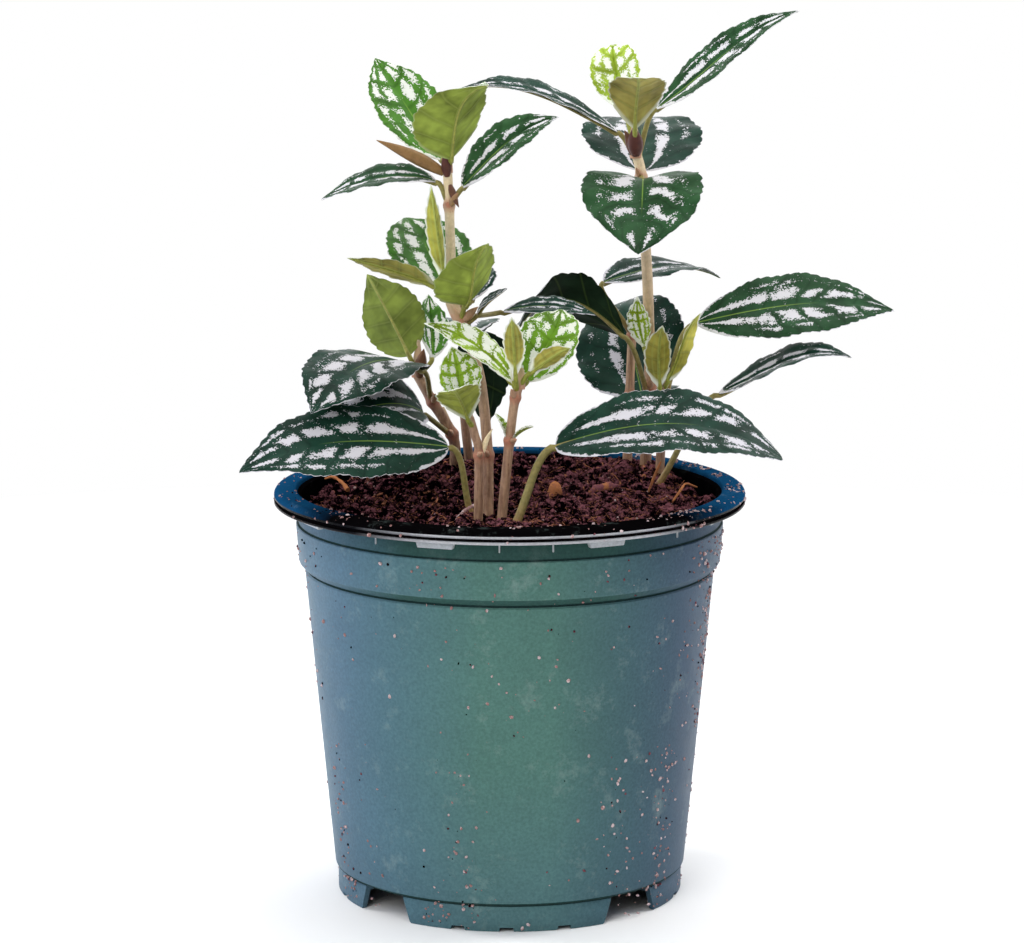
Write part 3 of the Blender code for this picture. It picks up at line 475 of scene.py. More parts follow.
# Scales: how far out from the stem's axis they start, as a share of its radius, and how far their
# tips curl outwards, as a share of their length
SCALE_SIDES = 8
SCALE_RINGS = 8
SCALE_START = 0.75
SCALE_CURL = 0.25
SCALE_LEAST_RADIUS = 0.12

# How far each leaf is from grown (0) to newly opened (1). Leaves not listed are grown.
YOUNG = {
    "leaf_tall_left_upper_right": 0.15,
    "leaf_tall_left_upper_left": 0.1,
    "leaf_tall_right_heart_front": 0.12,
    "leaf_tall_right_far_right": 0.12,
    "leaf_right_big_side": 0.1,
    "leaf_tall_left_top_back": 0.62,
    "leaf_tall_left_top_front": 0.75,
    "leaf_tall_left_upright": 1.0,
    "leaf_tall_left_middle_front": 0.75,
    "leaf_tall_left_middle_left": 0.8,
    "leaf_tall_left_middle_back": 0.45,
    "leaf_short_front_upright": 0.9,
    "leaf_short_front_olive": 0.9,
    "leaf_middle_front_left": 0.92,
    "leaf_middle_front_right": 0.84,
    "leaf_middle_front_upright": 1.0,
    "leaf_middle_front_small": 1.0,
    "leaf_tall_right_top_back": 0.96,
    "leaf_tall_right_top_front": 0.85,
    "leaf_right_small_upright": 0.95,
    "leaf_right_young_left": 1.0,
    "leaf_right_young_right": 1.0,
    "leaf_forked_upright_left": 0.5,
    "leaf_forked_upright_right": 0.6,
}

# Blades. Teeth rise over most of their length, and there are none at the base and the tip.
BLADE_COLUMNS = 28
ROWS_PER_TOOTH = 5
TOOTH_LENGTH = 3.6
TOOTH_DEPTH = 0.75
TOOTH_RISE = 0.75
TOOTH_START = 0.12
TOOTH_END = 0.94
FEWEST_TEETH = 7
BLADE_START_HALF_WIDTH = 0.9
BLADE_TIP_HALF_WIDTH = 0.15
WIDEST_EXPONENT = 0.88
OUTLINE_FULLNESS = 0.74
TIP_TAPER_START = 0.72
TIP_TAPER = 0.5
RUFFLE = 0.018
RUFFLE_WAVES = 4
RUFFLE_SHIFT = 1.3
# Veins: where the one beside the midrib lies across the half blade, and those that cross it, with
# how far they slant forwards on a leaf of a certain width and a whole number that their count starts
# from, which keeps it above zero
LATERAL_VEIN = 0.47
CROSS_VEIN_SLANT = 0.6
SLANT_WIDTH = 20.0
CROSS_VEIN_SPACING = 12.0
FEWEST_CROSS_VEINS = 5
CROSS_VEIN_START = 40.0
# The blade stands up between its veins, less beyond the lateral vein and where a vein crosses
FAR_QUILTS = 0.8
QUILT_AT_VEIN = 0.35
# Silver patches: centre and half width of the outer row, where the rows come in along the leaf and
# where they run out, how wide they are at their ends, their width on a grown leaf with what a new
# one adds to it, what a grown leaf takes from them, and the green strip along the midrib
OUTER_ROW = (0.72, 0.15)
ROWS_START = (0.0, 0.4)
ROWS_END = (0.84, 1.0)
INNER_ENDS = 0.3
OUTER_ENDS = 0.4
INNER_WIDTHS = (0.95, 0.15)
OUTER_WIDTHS = (0.8, 0.35)
GROWN_INNER_LOSS = 0.12
GROWN_OUTER_LOSS = 0.95
OUTER_ROW_START = (0.12, 0.4)
OUTER_START_LOSS = 0.7
MIDRIB_STRIP = (0.02, 0.15)
MIDRIB_STRIP_LOSS = 1.8
# The green between the patches of a row: least at the base, and where along the leaf it widens
LEAST_GAP = -0.25
GAP_GROWTH = 0.62
GAP_WIDENS = (0.2, 0.5)
# Silver margin in millimetres: its width, what is added near the base, and on a new leaf
MARGIN = 0.25
MARGIN_BASE = 1.5
MARGIN_BASE_END = (0.05, 0.3)
MARGIN_NEW = 0.2
# Silver patches of a leaf: centre and half width of the inner row as a share of the half width of the
# leaf, how wide the green between the patches is, and how much of the outer row shows
PATTERN = (0.29, 0.14, 0.08, 0.0)
PATTERNS = {
    "leaf_tall_right_heart_front": (0.36, 0.26, 0.45, 0.0),
    "leaf_tall_right_heart_back": (0.34, 0.11, -0.1, 0.0),
    "leaf_forked_drooping": (0.36, 0.24, 0.1, 0.1),
    "leaf_right_big_back": (0.3, 0.1, 0.05, 0.0),
    "leaf_right_back_drooping": (0.3, 0.17, -0.05, 0.0),
    "leaf_low_left": (0.33, 0.175, 0.03, 0.34),
    "leaf_low_right": (0.38, 0.15, 0.05, 0.36),
    "leaf_right_big_side": (0.34, 0.21, 0.1, 0.0),
    "leaf_tall_right_far_right": (0.32, 0.18, 0.0, 0.2),
}
# Leaves whose underside is browner than the others
BRONZE = {
    "leaf_tall_right_top_front": 0.75,
    "leaf_right_young_left": 0.3,
    "leaf_right_young_right": 0.15,
    "leaf_tall_left_middle_left": 0.6,
    "leaf_short_front_olive": 0.25,
    "leaf_middle_front_upright": 0.35,
    "leaf_middle_front_small": 0.35,
    "leaf_middle_front_right": 0.2,
}

# What the tiny leaves have in common
TINY_LEAF_SHAPE = {
    "roll": 0.0,
    "bow": (0.1, 0.1),
    "fold": 20.0,
    "twist": 0.0,
    "sweep": 0.0,
    "fullness": OUTLINE_FULLNESS,
    "pattern": PATTERN,
    "bronze": 0.0,
}
TINY_LEAF_AGE = 0.9
TINY_LEAF_COLUMNS = 12

# Petioles
PETIOLE_STEPS = 16
PETIOLE_SIDES = 10
PETIOLE_LEAVING = 0.4
PETIOLE_ARRIVING = 0.25
# Radii of a stalk at these shares of its way, and of the rib that it becomes under the blade
STALK_SHARES, STALK_RADII = (0.0, 0.15, 0.6, 1.0), (1.25, 1.05, 0.95, 0.95)
RIB_SHARES, RIB_RADII = (0.0, 0.12, 0.9), (0.85, 0.55, 0.12)
RIB_STEPS = 24
# How far the rib's axis lies under the blade: a share of its radius, and a little more
RIB_UNDER = 0.8
RIB_CLEAR = 0.1
# How thick the stalk of the smallest leaves would be, and the leaf whose stalk is of full thickness
SLENDER = 0.8
FULL_STALK_LEAF = 45.0
# How thick a stalk is where it isn't worked out from the length of its leaf
STOUT = {"leaf_low_right": 1.45, "leaf_low_left": 1.15, "leaf_low_back_right": 1.1}


def linear(colour):
    """The linear form of an sRGB hex colour."""
    parts = [int(colour[at:at + 2], 16) / 255.0 for at in (1, 3, 5)]
    return tuple(part / 12.92 if part <= 0.04045 else ((part + 0.055) / 1.055) ** 2.4 for part in parts)


def rgba(colour):
    return (*tuple(colour)[:3], 1.0)


def smoothstep(low, high, values):
    t = np.clip((np.asarray(values, float) - low) / (high - low), 0.0, 1.0)
    return t * t * (3.0 - 2.0 * t)


def bezier(t, start, first, second, end):
    """Points of a cubic curve at the shares t of its way."""
    return (
        (1 - t) ** 3 * start + 3 * (1 - t) ** 2 * t * first + 3 * (1 - t) * t**2 * second + t**3 * end
    )


# Shapes: each shell is a dict with points, faces, one material number per face and values per point


def mesh_of(name, points, faces):
    """A mesh from points in millimetres."""
    mesh = bpy.data.meshes.new(name)
    mesh.from_pydata((np.asarray(points, float) * MM).tolist(), [], faces)
    return mesh


def set_values(mesh, name, values):
    """Gives each point of a mesh a value that materials and node trees read by its name."""
    layer = mesh.attributes.new(name, "FLOAT", "POINT")
    layer.data.foreach_set("value", np.asarray(values, np.float32))


def place_object(name, data):
    """A new object in the scene for a mesh, a camera or a light."""
    made = bpy.data.objects.new(name, data)
    bpy.context.scene.collection.objects.link(made)
    return made


def result_mesh(piece):
    """The mesh that a piece's modifiers make of it, and then the modifiers are removed."""
    bpy.context.view_layer.update()
    graph = bpy.context.evaluated_depsgraph_get()
    mesh = bpy.data.meshes.new_from_object(piece.evaluated_get(graph))
    piece.modifiers.clear()
    return mesh


def ring_faces(rings, sides, start=0, turned=False):
    """Faces between rings of points that follow one another, the first of them at number start."""
    faces = []
    for low in range(start, start + (rings - 1) * sides, sides):
        high = low + sides
        for side in range(sides):
            after = (side + 1) % sides
            if turned:
                faces.append((low + side, high + side, high + after, low + after))
            else:
                faces.append((low + side, low + after, high + after, high + side))
    return faces


def shell(points, faces, materials, **values):
    count = len(points)
    filled = {key: np.broadcast_to(np.asarray(value, float), count) for key, value in values.items()}
    return {"points": np.asarray(points, float), "faces": faces, "materials": materials, "values": filled}


def make_piece(name, shells, materials, replaced=(), sharp=PIECE_SHARP):
    """One object from closed shells, riding on the body and standing for the CAD nodes it replaces."""
    points, faces, numbers = [], [], []
    start = 0
    keys = sorted({key for part in shells for key in part["values"]})
    values = {key: [] for key in keys}
    for part in shells:
        points.append(part["points"])
        faces += [tuple(int(corner) + start for corner in face) for face in part["faces"]]
        numbers += list(part["materials"])
        for key in keys:
            values[key].append(part["values"].get(key, np.zeros(len(part["points"]))))
        start += len(part["points"])
    mesh = mesh_of(name, np.concatenate(points), faces)
    mesh.polygons.foreach_set("material_index", numbers)
    for key in keys:
        set_values(mesh, key, np.concatenate(values[key]))
    finish_mesh(mesh, materials, sharp)
    register_piece(place_object(name, mesh), replaced)


def finish_mesh(mesh, materials, sharp):
    """Gives a mesh its materials and smooth shading, but for edges sharper than an angle."""
    for material in materials:
        mesh.materials.append(material)
    mesh.shade_smooth()
    mesh.set_sharp_from_angle(angle=math.radians(sharp))
    mesh.update()


def register_piece(piece, replaced=()):
    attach(piece, BODY)
    if replaced:
        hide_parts(*replaced)


def tube(points, radii, sides, material, ridges=0.0, **values):
    """A closed tube along a path, with values for each point of the path and four ridges if any."""
    points, radii = np.asarray(points, float), np.broadcast_to(radii, len(points))
    tangents = np.gradient(points, axis=0)
    tangents /= np.linalg.norm(tangents, axis=1)[:, None]
    helper = np.array([0.0, 1.0, 0.0]) if abs(tangents[0][1]) < 0.8 else np.array([1.0, 0.0, 0.0])
    turn = np.linspace(0.0, 2.0 * math.pi, sides, endpoint=False)
    rings = []
    for point, tangent, radius in zip(points, tangents, radii):
        helper = helper - tangent * (helper @ tangent)
        helper /= np.linalg.norm(helper)
        other = np.cross(tangent, helper)
        reach = radius * (1.0 + ridges * np.cos(4.0 * turn))
        rings.append(point + np.outer(reach * np.cos(turn), helper) + np.outer(reach * np.sin(turn), other))
    count = len(points)
    faces = ring_faces(count, sides)
    faces.append(tuple(range(sides))[::-1])
    faces.append(tuple(range((count - 1) * sides, count * sides)))
    spread = {key: np.repeat(np.broadcast_to(value, count), sides) for key, value in values.items()}
    return shell(np.concatenate(rings), faces, [material] * len(faces), **spread)


def smooth_path(points, steps):
    """More points on a smooth curve through the given ones."""
    points = [np.array(point, float) for point in points]
    ends = [2 * points[0] - points[1], *points, 2 * points[-1] - points[-2]]
    path = []
    for before, start, end, after in zip(ends, ends[1:], ends[2:], ends[3:]):
        for step in range(steps):
            t = step / steps
            path.append(
                0.5 * (
                    2 * start
                    + (end - before) * t
                    + (2 * before - 5 * start + 4 * end - after) * t**2
                    + (3 * start - before - 3 * end + after) * t**3
                )
            )
    return path + [points[-1]]


def stem_path(name, steps=12):
    """The smooth axis of a stem with its root below the soil."""
    points = STEMS[name][1]
    first = np.array(points[0], float)
    along = np.array(points[1], float) - first
    root = first - along / along[2] * STEM_ROOT_DEPTH
    return np.array([root, *smooth_path(points, steps)])


def point_on_stem(name, height):
    path = stem_path(name)
    return np.array([np.interp(height, path[:, 2], path[:, axis]) for axis in range(3)])


# Leaves


def direction(heading, rise):
    heading, rise = math.radians(heading), math.radians(rise)
    return np.array([
        math.cos(heading) * math.cos(rise),
        math.sin(heading) * math.cos(rise),
        math.sin(rise),
    ])


def midrib(leaf, along):
    """Points and tangents of a leaf's midrib, and the direction across the leaf there."""
    chord = direction(leaf["heading"], leaf["rise"])
    above = direction(leaf["heading"], leaf["rise"] + 90.0)
    aside = np.cross(chord, above)
    roll = math.radians(leaf["roll"])
    up = above * math.cos(roll) + aside * math.sin(roll)
    side = np.cross(chord, up)
    length, sweep = leaf["length"], leaf["sweep"]
    bow_in, bow_out = leaf["bow"]
    start = np.array(leaf["base"], float)
    first = start + length * (chord / 3 + up * bow_in + side * sweep / 2)
    second = start + length * (chord * 2 / 3 + up * bow_out + side * sweep)
    end = start + length * chord
    t = np.asarray(along, float)[:, None]
    points = bezier(t, start, first, second, end)
    tangents = (
        (1 - t) ** 2 * (first - start) + 2 * (1 - t) * t * (second - first) + t**2 * (end - second)
    )
    tangents /= np.linalg.norm(tangents, axis=1)[:, None]
    across = side - tangents * (tangents @ side)[:, None]
    across /= np.linalg.norm(across, axis=1)[:, None]
    return points, tangents, across


def half_width(leaf, along):
    """Half the width of the blade along the midrib, without its teeth."""
    body = np.sin(math.pi * along**WIDEST_EXPONENT) ** leaf["fullness"]
    taper = np.clip((along - TIP_TAPER_START) / (1 - TIP_TAPER_START), 0, 1) ** 1.5
    least = BLADE_START_HALF_WIDTH * (1 - along) + BLADE_TIP_HALF_WIDTH * along
    return np.maximum(leaf["width"] / 2 * body * (1 - TIP_TAPER * taper), least)


def tooth_count(leaf):
    return max(FEWEST_TEETH, round(leaf["length"] / TOOTH_LENGTH))


def blade_points(leaf, along, side):
    """Points of the middle of the blade: along runs 0 to 1 from base to tip, side -1 to 1 across it."""
    points, tangents, across = midrib(leaf, along)
    twist = np.radians(leaf["twist"]) * along
    up = np.cross(across, tangents)
    across = across * np.cos(twist)[:, None] + up * np.sin(twist)[:, None]
    up = np.cross(across, tangents)
    phase = (along * tooth_count(leaf)) % 1.0
    tooth = np.minimum(phase / TOOTH_RISE, (1.0 - phase) / (1.0 - TOOTH_RISE)) - 0.5
    started = smoothstep(0.5 * TOOTH_START, 2.0 * TOOTH_START, along)
    toothed = started * (1.0 - smoothstep(TOOTH_END, 1.0, along))
    half = half_width(leaf, along) + TOOTH_DEPTH * toothed * tooth * side**6
    fold = math.radians(leaf["fold"])
    shift = np.where(side < 0, 0.0, RUFFLE_SHIFT)
    wave = np.sin(2 * math.pi * RUFFLE_WAVES * along + shift) * np.sin(math.pi * along)
    lift = np.abs(side) * half * math.sin(fold) + RUFFLE * leaf["width"] * np.abs(side) ** 3 * wave
    return points + across * (side * half * math.cos(fold))[:, None] + up * lift[:, None]


def blade_fields(leaf, along, side, age):
    """Values that the leaf's materials read: rows of patches, cross veins, margin and main veins."""
    reach = np.abs(side)
    half = half_width(leaf, along)
    ends = smoothstep(*ROWS_START, along) * (1.0 - smoothstep(*ROWS_END, along))
    centre, spread, gap, extra = leaf["pattern"]
    grown_width, new_width = INNER_WIDTHS
    inner_spread = spread * (INNER_ENDS + (1.0 - INNER_ENDS) * ends) * (grown_width + new_width * age)
    inner = 1.0 - np.abs(reach - centre) / inner_spread - GROWN_INNER_LOSS * (1.0 - age)
    grown_width, new_width = OUTER_WIDTHS
    outer_centre, outer_spread = OUTER_ROW
    outer_spread = outer_spread * (OUTER_ENDS + (1.0 - OUTER_ENDS) * ends) * (grown_width + new_width * age)
    outer = 1.0 - np.abs(reach - outer_centre) / outer_spread - GROWN_OUTER_LOSS * (1.0 - max(age, extra))
    outer -= OUTER_START_LOSS * (1.0 - smoothstep(*OUTER_ROW_START, along))
    strip = MIDRIB_STRIP_LOSS * (1.0 - smoothstep(*MIDRIB_STRIP, reach))
    slant = CROSS_VEIN_SLANT * reach * leaf["width"] / SLANT_WIDTH
    margin = MARGIN + MARGIN_BASE * (1.0 - smoothstep(*MARGIN_BASE_END, along)) + MARGIN_NEW * age
    return {
        "row": np.maximum(inner, outer) - strip,
        "cross": along * cross_vein_count(leaf) - slant + CROSS_VEIN_START,
        "opening": GAP_GROWTH * smoothstep(*GAP_WIDENS, along) + LEAST_GAP + gap,
        "rim": (1.0 - reach) * half / margin,
        "midrib": reach * half,
        "lateral": np.abs(reach - LATERAL_VEIN) * half,
        "along": along,
        "bronze": leaf["bronze"],
    }


def cross_vein_count(leaf):
    return max(FEWEST_CROSS_VEINS, round(leaf["length"] / CROSS_VEIN_SPACING) + 1)


def quilting(leaf, along, side, height):
    """How far the blade between its veins stands above them."""
    reach = np.abs(side)
    near = np.sin(math.pi * np.clip(reach / LATERAL_VEIN, 0, 1))
    far = np.sin(math.pi * np.clip((reach - LATERAL_VEIN) / (1.0 - LATERAL_VEIN), 0, 1))
    across = np.maximum(near, FAR_QUILTS * far)
    cross = blade_fields(leaf, along, side, 0.0)["cross"]
    between = QUILT_AT_VEIN + (1.0 - QUILT_AT_VEIN) * np.abs(np.sin(math.pi * cross)) ** 0.6
    return height * across**0.7 * between * np.sin(math.pi * along) ** 0.5


def blade_shell(leaf, age, settings, columns=BLADE_COLUMNS):
    """A closed blade, thin at its margin, with the upper face in material 0 and the lower in 1."""
    rows = tooth_count(leaf) * ROWS_PER_TOOTH
    lines = np.sin(0.5 * math.pi * np.linspace(-1.0, 1.0, columns + 1))
    along, side = np.meshgrid(np.linspace(0.0, 1.0, rows + 1), lines, indexing="ij")
    flat_along, flat_side = along.ravel(), side.ravel()
    middle = blade_points(leaf, flat_along, flat_side).reshape(rows + 1, columns + 1, 3)
    normals = np.cross(np.gradient(middle, axis=1), np.gradient(middle, axis=0))
    normals /= np.maximum(np.linalg.norm(normals, axis=2), 1e-9)[:, :, None]
    relief = quilting(leaf, flat_along, flat_side, settings.quilting / MM).reshape(along.shape)
    thick = 0.5 * settings.thickness / MM * (1.0 - np.abs(side) ** 4)
    thick[0], thick[-1] = 0.0, 0.0
    top = middle + normals * (relief + thick)[:, :, None]
    below = middle + normals * (relief - thick)[:, :, None]
    number = np.arange(along.size).reshape(along.shape)
    lower = number.copy()
    inside = np.zeros(along.shape, bool)
    inside[1:-1, 1:-1] = True
    lower[inside] = along.size + np.arange(inside.sum())
    faces = []
    for grid, turned in ((number, False), (lower, True)):
        corners = [grid[:-1, :-1], grid[:-1, 1:], grid[1:, 1:], grid[1:, :-1]]
        quads = np.stack([corner.ravel() for corner in corners], axis=1)
        faces.append(quads[:, ::-1] if turned else quads)
    count = len(faces[0])
    fields = blade_fields(leaf, flat_along, flat_side, age)
    fields = {key: np.broadcast_to(value, along.size) for key, value in fields.items()}
    values = {key: np.concatenate([value, value[inside.ravel()]]) for key, value in fields.items()}
    points = np.concatenate([top.reshape(-1, 3), below[inside]])
    return shell(points, np.concatenate(faces).tolist(), [0] * count + [1] * count, age=age, **values)


def petiole_path(name, leaf):
    """From the stem's axis or from below the soil, then along under the midrib."""
    points, tangents, across = midrib(leaf, np.linspace(0.0, RIB_SHARES[-1], RIB_STEPS))
    base, along = points[0], tangents[0]
    if leaf["stem"] == "root":
        start = np.array(ROOTS[name])
    else:
        start = point_on_stem(leaf["stem"], leaf["node_height"])
    reach = np.linalg.norm(base - start)
    first = start + (base - start) * PETIOLE_LEAVING
    second = base - along * reach * PETIOLE_ARRIVING
    steps = np.linspace(0.0, 1.0, PETIOLE_STEPS, endpoint=False)
    path = [bezier(t, start, first, second, base) for t in steps]
    if leaf["stem"] == "root":
        lean = path[1] - path[0]
        path.insert(0, start - lean / lean[2] * STEM_ROOT_DEPTH)
    return np.array(path), points, np.cross(tangents, across)


def petiole_shell(name, leaf, age):
    """The stalk and the rib that it becomes under the blade, in material 2."""
    path, ribs, under = petiole_path(name, leaf)
    rib_radii = np.interp(np.linspace(0.0, RIB_SHARES[-1], len(ribs)), RIB_SHARES, RIB_RADII)
    grown = min(1.0, leaf["length"] / FULL_STALK_LEAF)
    thickness = STOUT.get(name, SLENDER + (1.0 - SLENDER) * grown)
    stalk_radii = thickness * np.interp(np.linspace(0.0, 1.0, len(path)), STALK_SHARES, STALK_RADII)
    ribs = ribs + under * (rib_radii * RIB_UNDER + RIB_CLEAR)[:, None]
    points = np.concatenate([path, ribs])
    radii = np.concatenate([stalk_radii, rib_radii * thickness])
    place = np.concatenate([np.linspace(0.0, 0.5, len(path)), np.linspace(0.5, 1.0, len(ribs))])
    return tube(points, radii, PETIOLE_SIDES, 2, along=place, age=age)


def leaf_record(name):
    return dict(
        zip(LEAF_FIELDS, LEAVES[name]),
        fullness=FULLNESS.get(name, OUTLINE_FULLNESS),
        pattern=PATTERNS.get(name, PATTERN),
        bronze=BRONZE.get(name, 0.0),
    )


def make_leaf(name, materials, settings):
    leaf = leaf_record(name)
    age = YOUNG.get(name, 0.0)
    shells = [blade_shell(leaf, age, settings), petiole_shell(name, leaf, age)]
    make_piece(name + "_look", shells, materials, (name,))


# Stems


def stem_shells(name):
    """The stem with rings at its nodes, and its buds and side shoots."""
    radius, _, nodes = STEMS[name]
    coarse = stem_path(name)
    heights = np.linspace(coarse[0][2], coarse[-1][2], STEM_RINGS)
    points = np.array([np.interp(heights, coarse[:, 2], coarse[:, axis]) for axis in range(3)]).T
    low, high = heights[0], heights[-1]
    taper = 1.0 - STEM_TAPER * (heights - low) / (high - low)
    ring, collar = [
        np.max([np.exp(-(((heights - node) / spread) ** 2)) for node in nodes], axis=0)
        for spread in (NODE_RING_HEIGHT, NODE_COLLAR_HEIGHT)
    ]
    radii = radius * taper * (1.0 + NODE_RING * ring + NODE_COLLAR * collar)
    green = smoothstep(*GREENING, heights) * GREEN_TOP.get(name, USUAL_GREEN)
    pink = collar * 0.7 + 0.3 * ring
    shells = [tube(points, radii, STEM_SIDES, 0, ridges=STEM_RIDGES, pink=pink, green=green)]
    for owner, start, end, start_radius, end_radius in SHOOTS:
        if owner == name:
            path = np.linspace(start, end, SHOOT_RINGS)
            t = np.linspace(0.0, 1.0, SHOOT_RINGS)
            shoot = start_radius + (end_radius - start_radius) * t**1.5
            shoot = shoot + SHOOT_BULGE * np.sin(math.pi * t)
            shells.append(tube(path, shoot, SHOOT_SIDES, 0, pink=0.8 - 0.5 * t, green=SHOOT_GREEN))
    return shells


def scale_shell(stem, height, heading, rise, length, width, dryness):
    """A small scale at a node, as a pointed tube: green below 0 dryness, dark and dry near 1."""
    outward = direction(heading, 0.0)
    base = point_on_stem(stem, height) + outward * (SCALE_START * STEMS[stem][0])
    t = np.linspace(0.0, 1.0, SCALE_RINGS)
    curl = np.outer(t**2 * length * SCALE_CURL, outward)
    points = base + np.outer(t * length, direction(heading, rise)) + curl
    radii = 0.5 * width * np.sin(math.pi * (0.18 + 0.8 * t))
    dry = max(dryness, 0.0)
    green = 0.25 if dryness >= 0.0 else 1.0
    pink = (0.55 + 0.4 * t) * (1.0 - green)
    radii = np.maximum(radii, SCALE_LEAST_RADIUS)
    return tube(points, radii, SCALE_SIDES, 0, pink=pink, green=green, dry=dry)


def make_stem(name, materials, settings):
    shells = stem_shells(name)
    for scale in SCALES:
        if scale[0] == name:
            shells.append(scale_shell(*scale))
    for owner, base, heading, rise, length, width in TINY_LEAVES:
        if owner == name:
            leaf = dict(
                TINY_LEAF_SHAPE, base=base, heading=heading, rise=rise, length=length, width=width
            )
            tiny = blade_shell(leaf, TINY_LEAF_AGE, settings, columns=TINY_LEAF_COLUMNS)
            tiny["materials"] = [number + 1 for number in tiny["materials"]]
            shells.append(tiny)
    make_piece(name + "_look", shells, materials, (name,))


# Pot


def arc(centre, radius, first, last, steps):
    """Points of a rounded corner of a profile, as radius and height."""
    angles = np.radians(np.linspace(first, last, steps))
    return [(centre[0] + radius * math.cos(angle), centre[1] + radius * math.sin(angle)) for angle in angles]


def pot_profile():
    """The pot's section as (radius, height, material), from the middle of its floor over the rim to its
    base. Material 0 is the outer wall, 1 the top of the rim with its painted reflections, 2 the ribs
    of the lip with their painted highlight, 3 the places in the painted shade of the lip and the
    collar, 4 the painted shade in the grooves, and 5 the painted shade inside and the painted dark line
    in the lip."""
    inner = [(0.0, 2.0), (30.0, 2.0), (34.0, 9.0), (57.5, 9.0), (60.5, 12.0), (70.6, 115.8)]
    inner += [(72.6, 118.4), (73.6, 130.4), (72.8, 132.8), (72.8, 141.9), (73.4, 142.4), (74.3, 142.6)]
    rim = arc((75.4, 143.0), 1.0, 180.0, 90.0, 6)
    rim += [(78.0, 144.0)]
    rim += arc((80.4, 141.9), 2.1, 88.0, 0.0, 8)
    upper_rib = [(82.45, 141.35), (82.1, 141.1), (82.1, 140.95)]
    # The dark rib between the two bright ones is a painted dark line
    dark_rib = [(82.5, 140.7), (82.55, 140.4), (82.3, 140.15), (82.15, 140.0)]
    lower_rib = [(82.5, 139.8), (82.5, 139.3), (82.2, 139.0)]
    under = [(81.6, 139.0), (81.2, 139.4), (81.2, 142.1), (80.9, 142.3), (74.5, 142.3), (74.0, 141.8)]
    shade = [(74.0, 132.9), (74.05, 132.5)]
    collar_line = [(74.1, 132.1), (74.6, 131.9)]
    collar = [(74.9, 131.5), (74.4, 125.0), (73.95, 118.9), (73.8, 118.5)]
    under_collar = [(72.6, 117.1), (71.5, 116.3)]
    groove = [(71.0, 115.9), (71.3, 115.5)]
    wall = [(71.8, 115.0), (70.4, 100.0), (68.6, 80.0), (66.7, 60.0), (64.8, 40.0), (62.9, 20.0)]
    wall.append((61.9, 10.2))
    skirt_line = [(61.7, 9.7), (60.8, 9.3), (60.7, 8.9)]
    foot = [(60.9, 8.6), (60.9, 0.6), (60.5, 0.0), (58.9, 0.0), (58.6, 0.4)]
    base = [(58.6, 7.0), (34.0, 7.0), (30.0, 0.0), (0.0, 0.0)]
    # Material 4 paints shade in the collar line, the groove and the skirt line
    bands = (
        (inner, 5), (rim, 1), (upper_rib, 2), (dark_rib, 5), (lower_rib, 2), (under + shade, 3),
        (collar_line, 4), (collar, 0), (under_collar, 3), (groove, 4), (wall, 0), (skirt_line, 4),
        (foot, 0), (base, 5),
    )
    return [(*point, material) for band, material in bands for point in band]


def turned_object(name, profile, sides):
    """A closed solid of revolution from a profile that starts and ends on the axis."""
    bm = bmesh.new()
    turn = np.linspace(0.0, 2.0 * math.pi, sides, endpoint=False)
    rings = []
    for radius, height, _ in profile:
        around = turn if radius > 0.0 else [0.0]
        rings.append([
            bm.verts.new((radius * MM * math.cos(angle), radius * MM * math.sin(angle), height * MM))
            for angle in around
        ])
    for first, second, (_, _, material) in zip(rings, rings[1:], profile[1:]):
        for side in range(sides):
            after = (side + 1) % sides
            if len(first) == 1:
                corners = (first[0], second[side], second[after])
            elif len(second) == 1:
                corners = (first[side], second[0], first[after])
            else:
                corners = (first[side], second[side], second[after], first[after])
            bm.faces.new(corners).material_index = material
    bmesh.ops.recalc_face_normals(bm, faces=bm.faces)
    return mesh_object(name, bm)


def add_box(bm, box, angle, widening=1.0):
    """A box turned round the pot's axis, which can widen or narrow downwards."""
    size, centre = [Vector(lengths) * MM for lengths in box]
    corners = bmesh.ops.create_cube(bm, size=1.0)["verts"]
    for corner in corners:
        if corner.co.z < 0.0:
            corner.co.y *= widening
    turn = Matrix.Rotation(math.radians(angle), 4, "Z")
    place = turn @ Matrix.Translation(centre) @ Matrix.Diagonal((*size, 1.0))
    bmesh.ops.transform(bm, matrix=place, verts=corners)


def mesh_object(name, bm):
    mesh = bpy.data.meshes.new(name)
    bm.to_mesh(mesh)
    bm.free()
    return place_object(name, mesh)


def drain_cutters():
    """Boxes for the drain gaps between the feet and for the small notches in each foot."""
    bm = bmesh.new()
    pitch = 360.0 / DRAIN_GAPS
    for index in range(DRAIN_GAPS):
        angle = DRAIN_FIRST_ANGLE + pitch * index
        add_box(bm, DRAIN_GAP, angle, DRAIN_WIDENING)
        for offset in NOTCH_OFFSETS:
            add_box(bm, FOOT_NOTCH, angle + pitch / 2.0 + offset, NOTCH_WIDENING)
    return mesh_object("drain_cutters", bm)


def make_pot(materials, settings):
    piece = turned_object("pot_look", pot_profile(), settings.sides)
    cutters = drain_cutters()
    cut = piece.modifiers.new("Drain gaps", "BOOLEAN")
    cut.operation = "DIFFERENCE"
    cut.solver = "EXACT"
    cut.object = cutters
    piece.data = result_mesh(piece)
    bpy.data.objects.remove(cutters)
    finish_mesh(piece.data, materials, POT_SHARP)
    register_piece(piece, ("pot",))


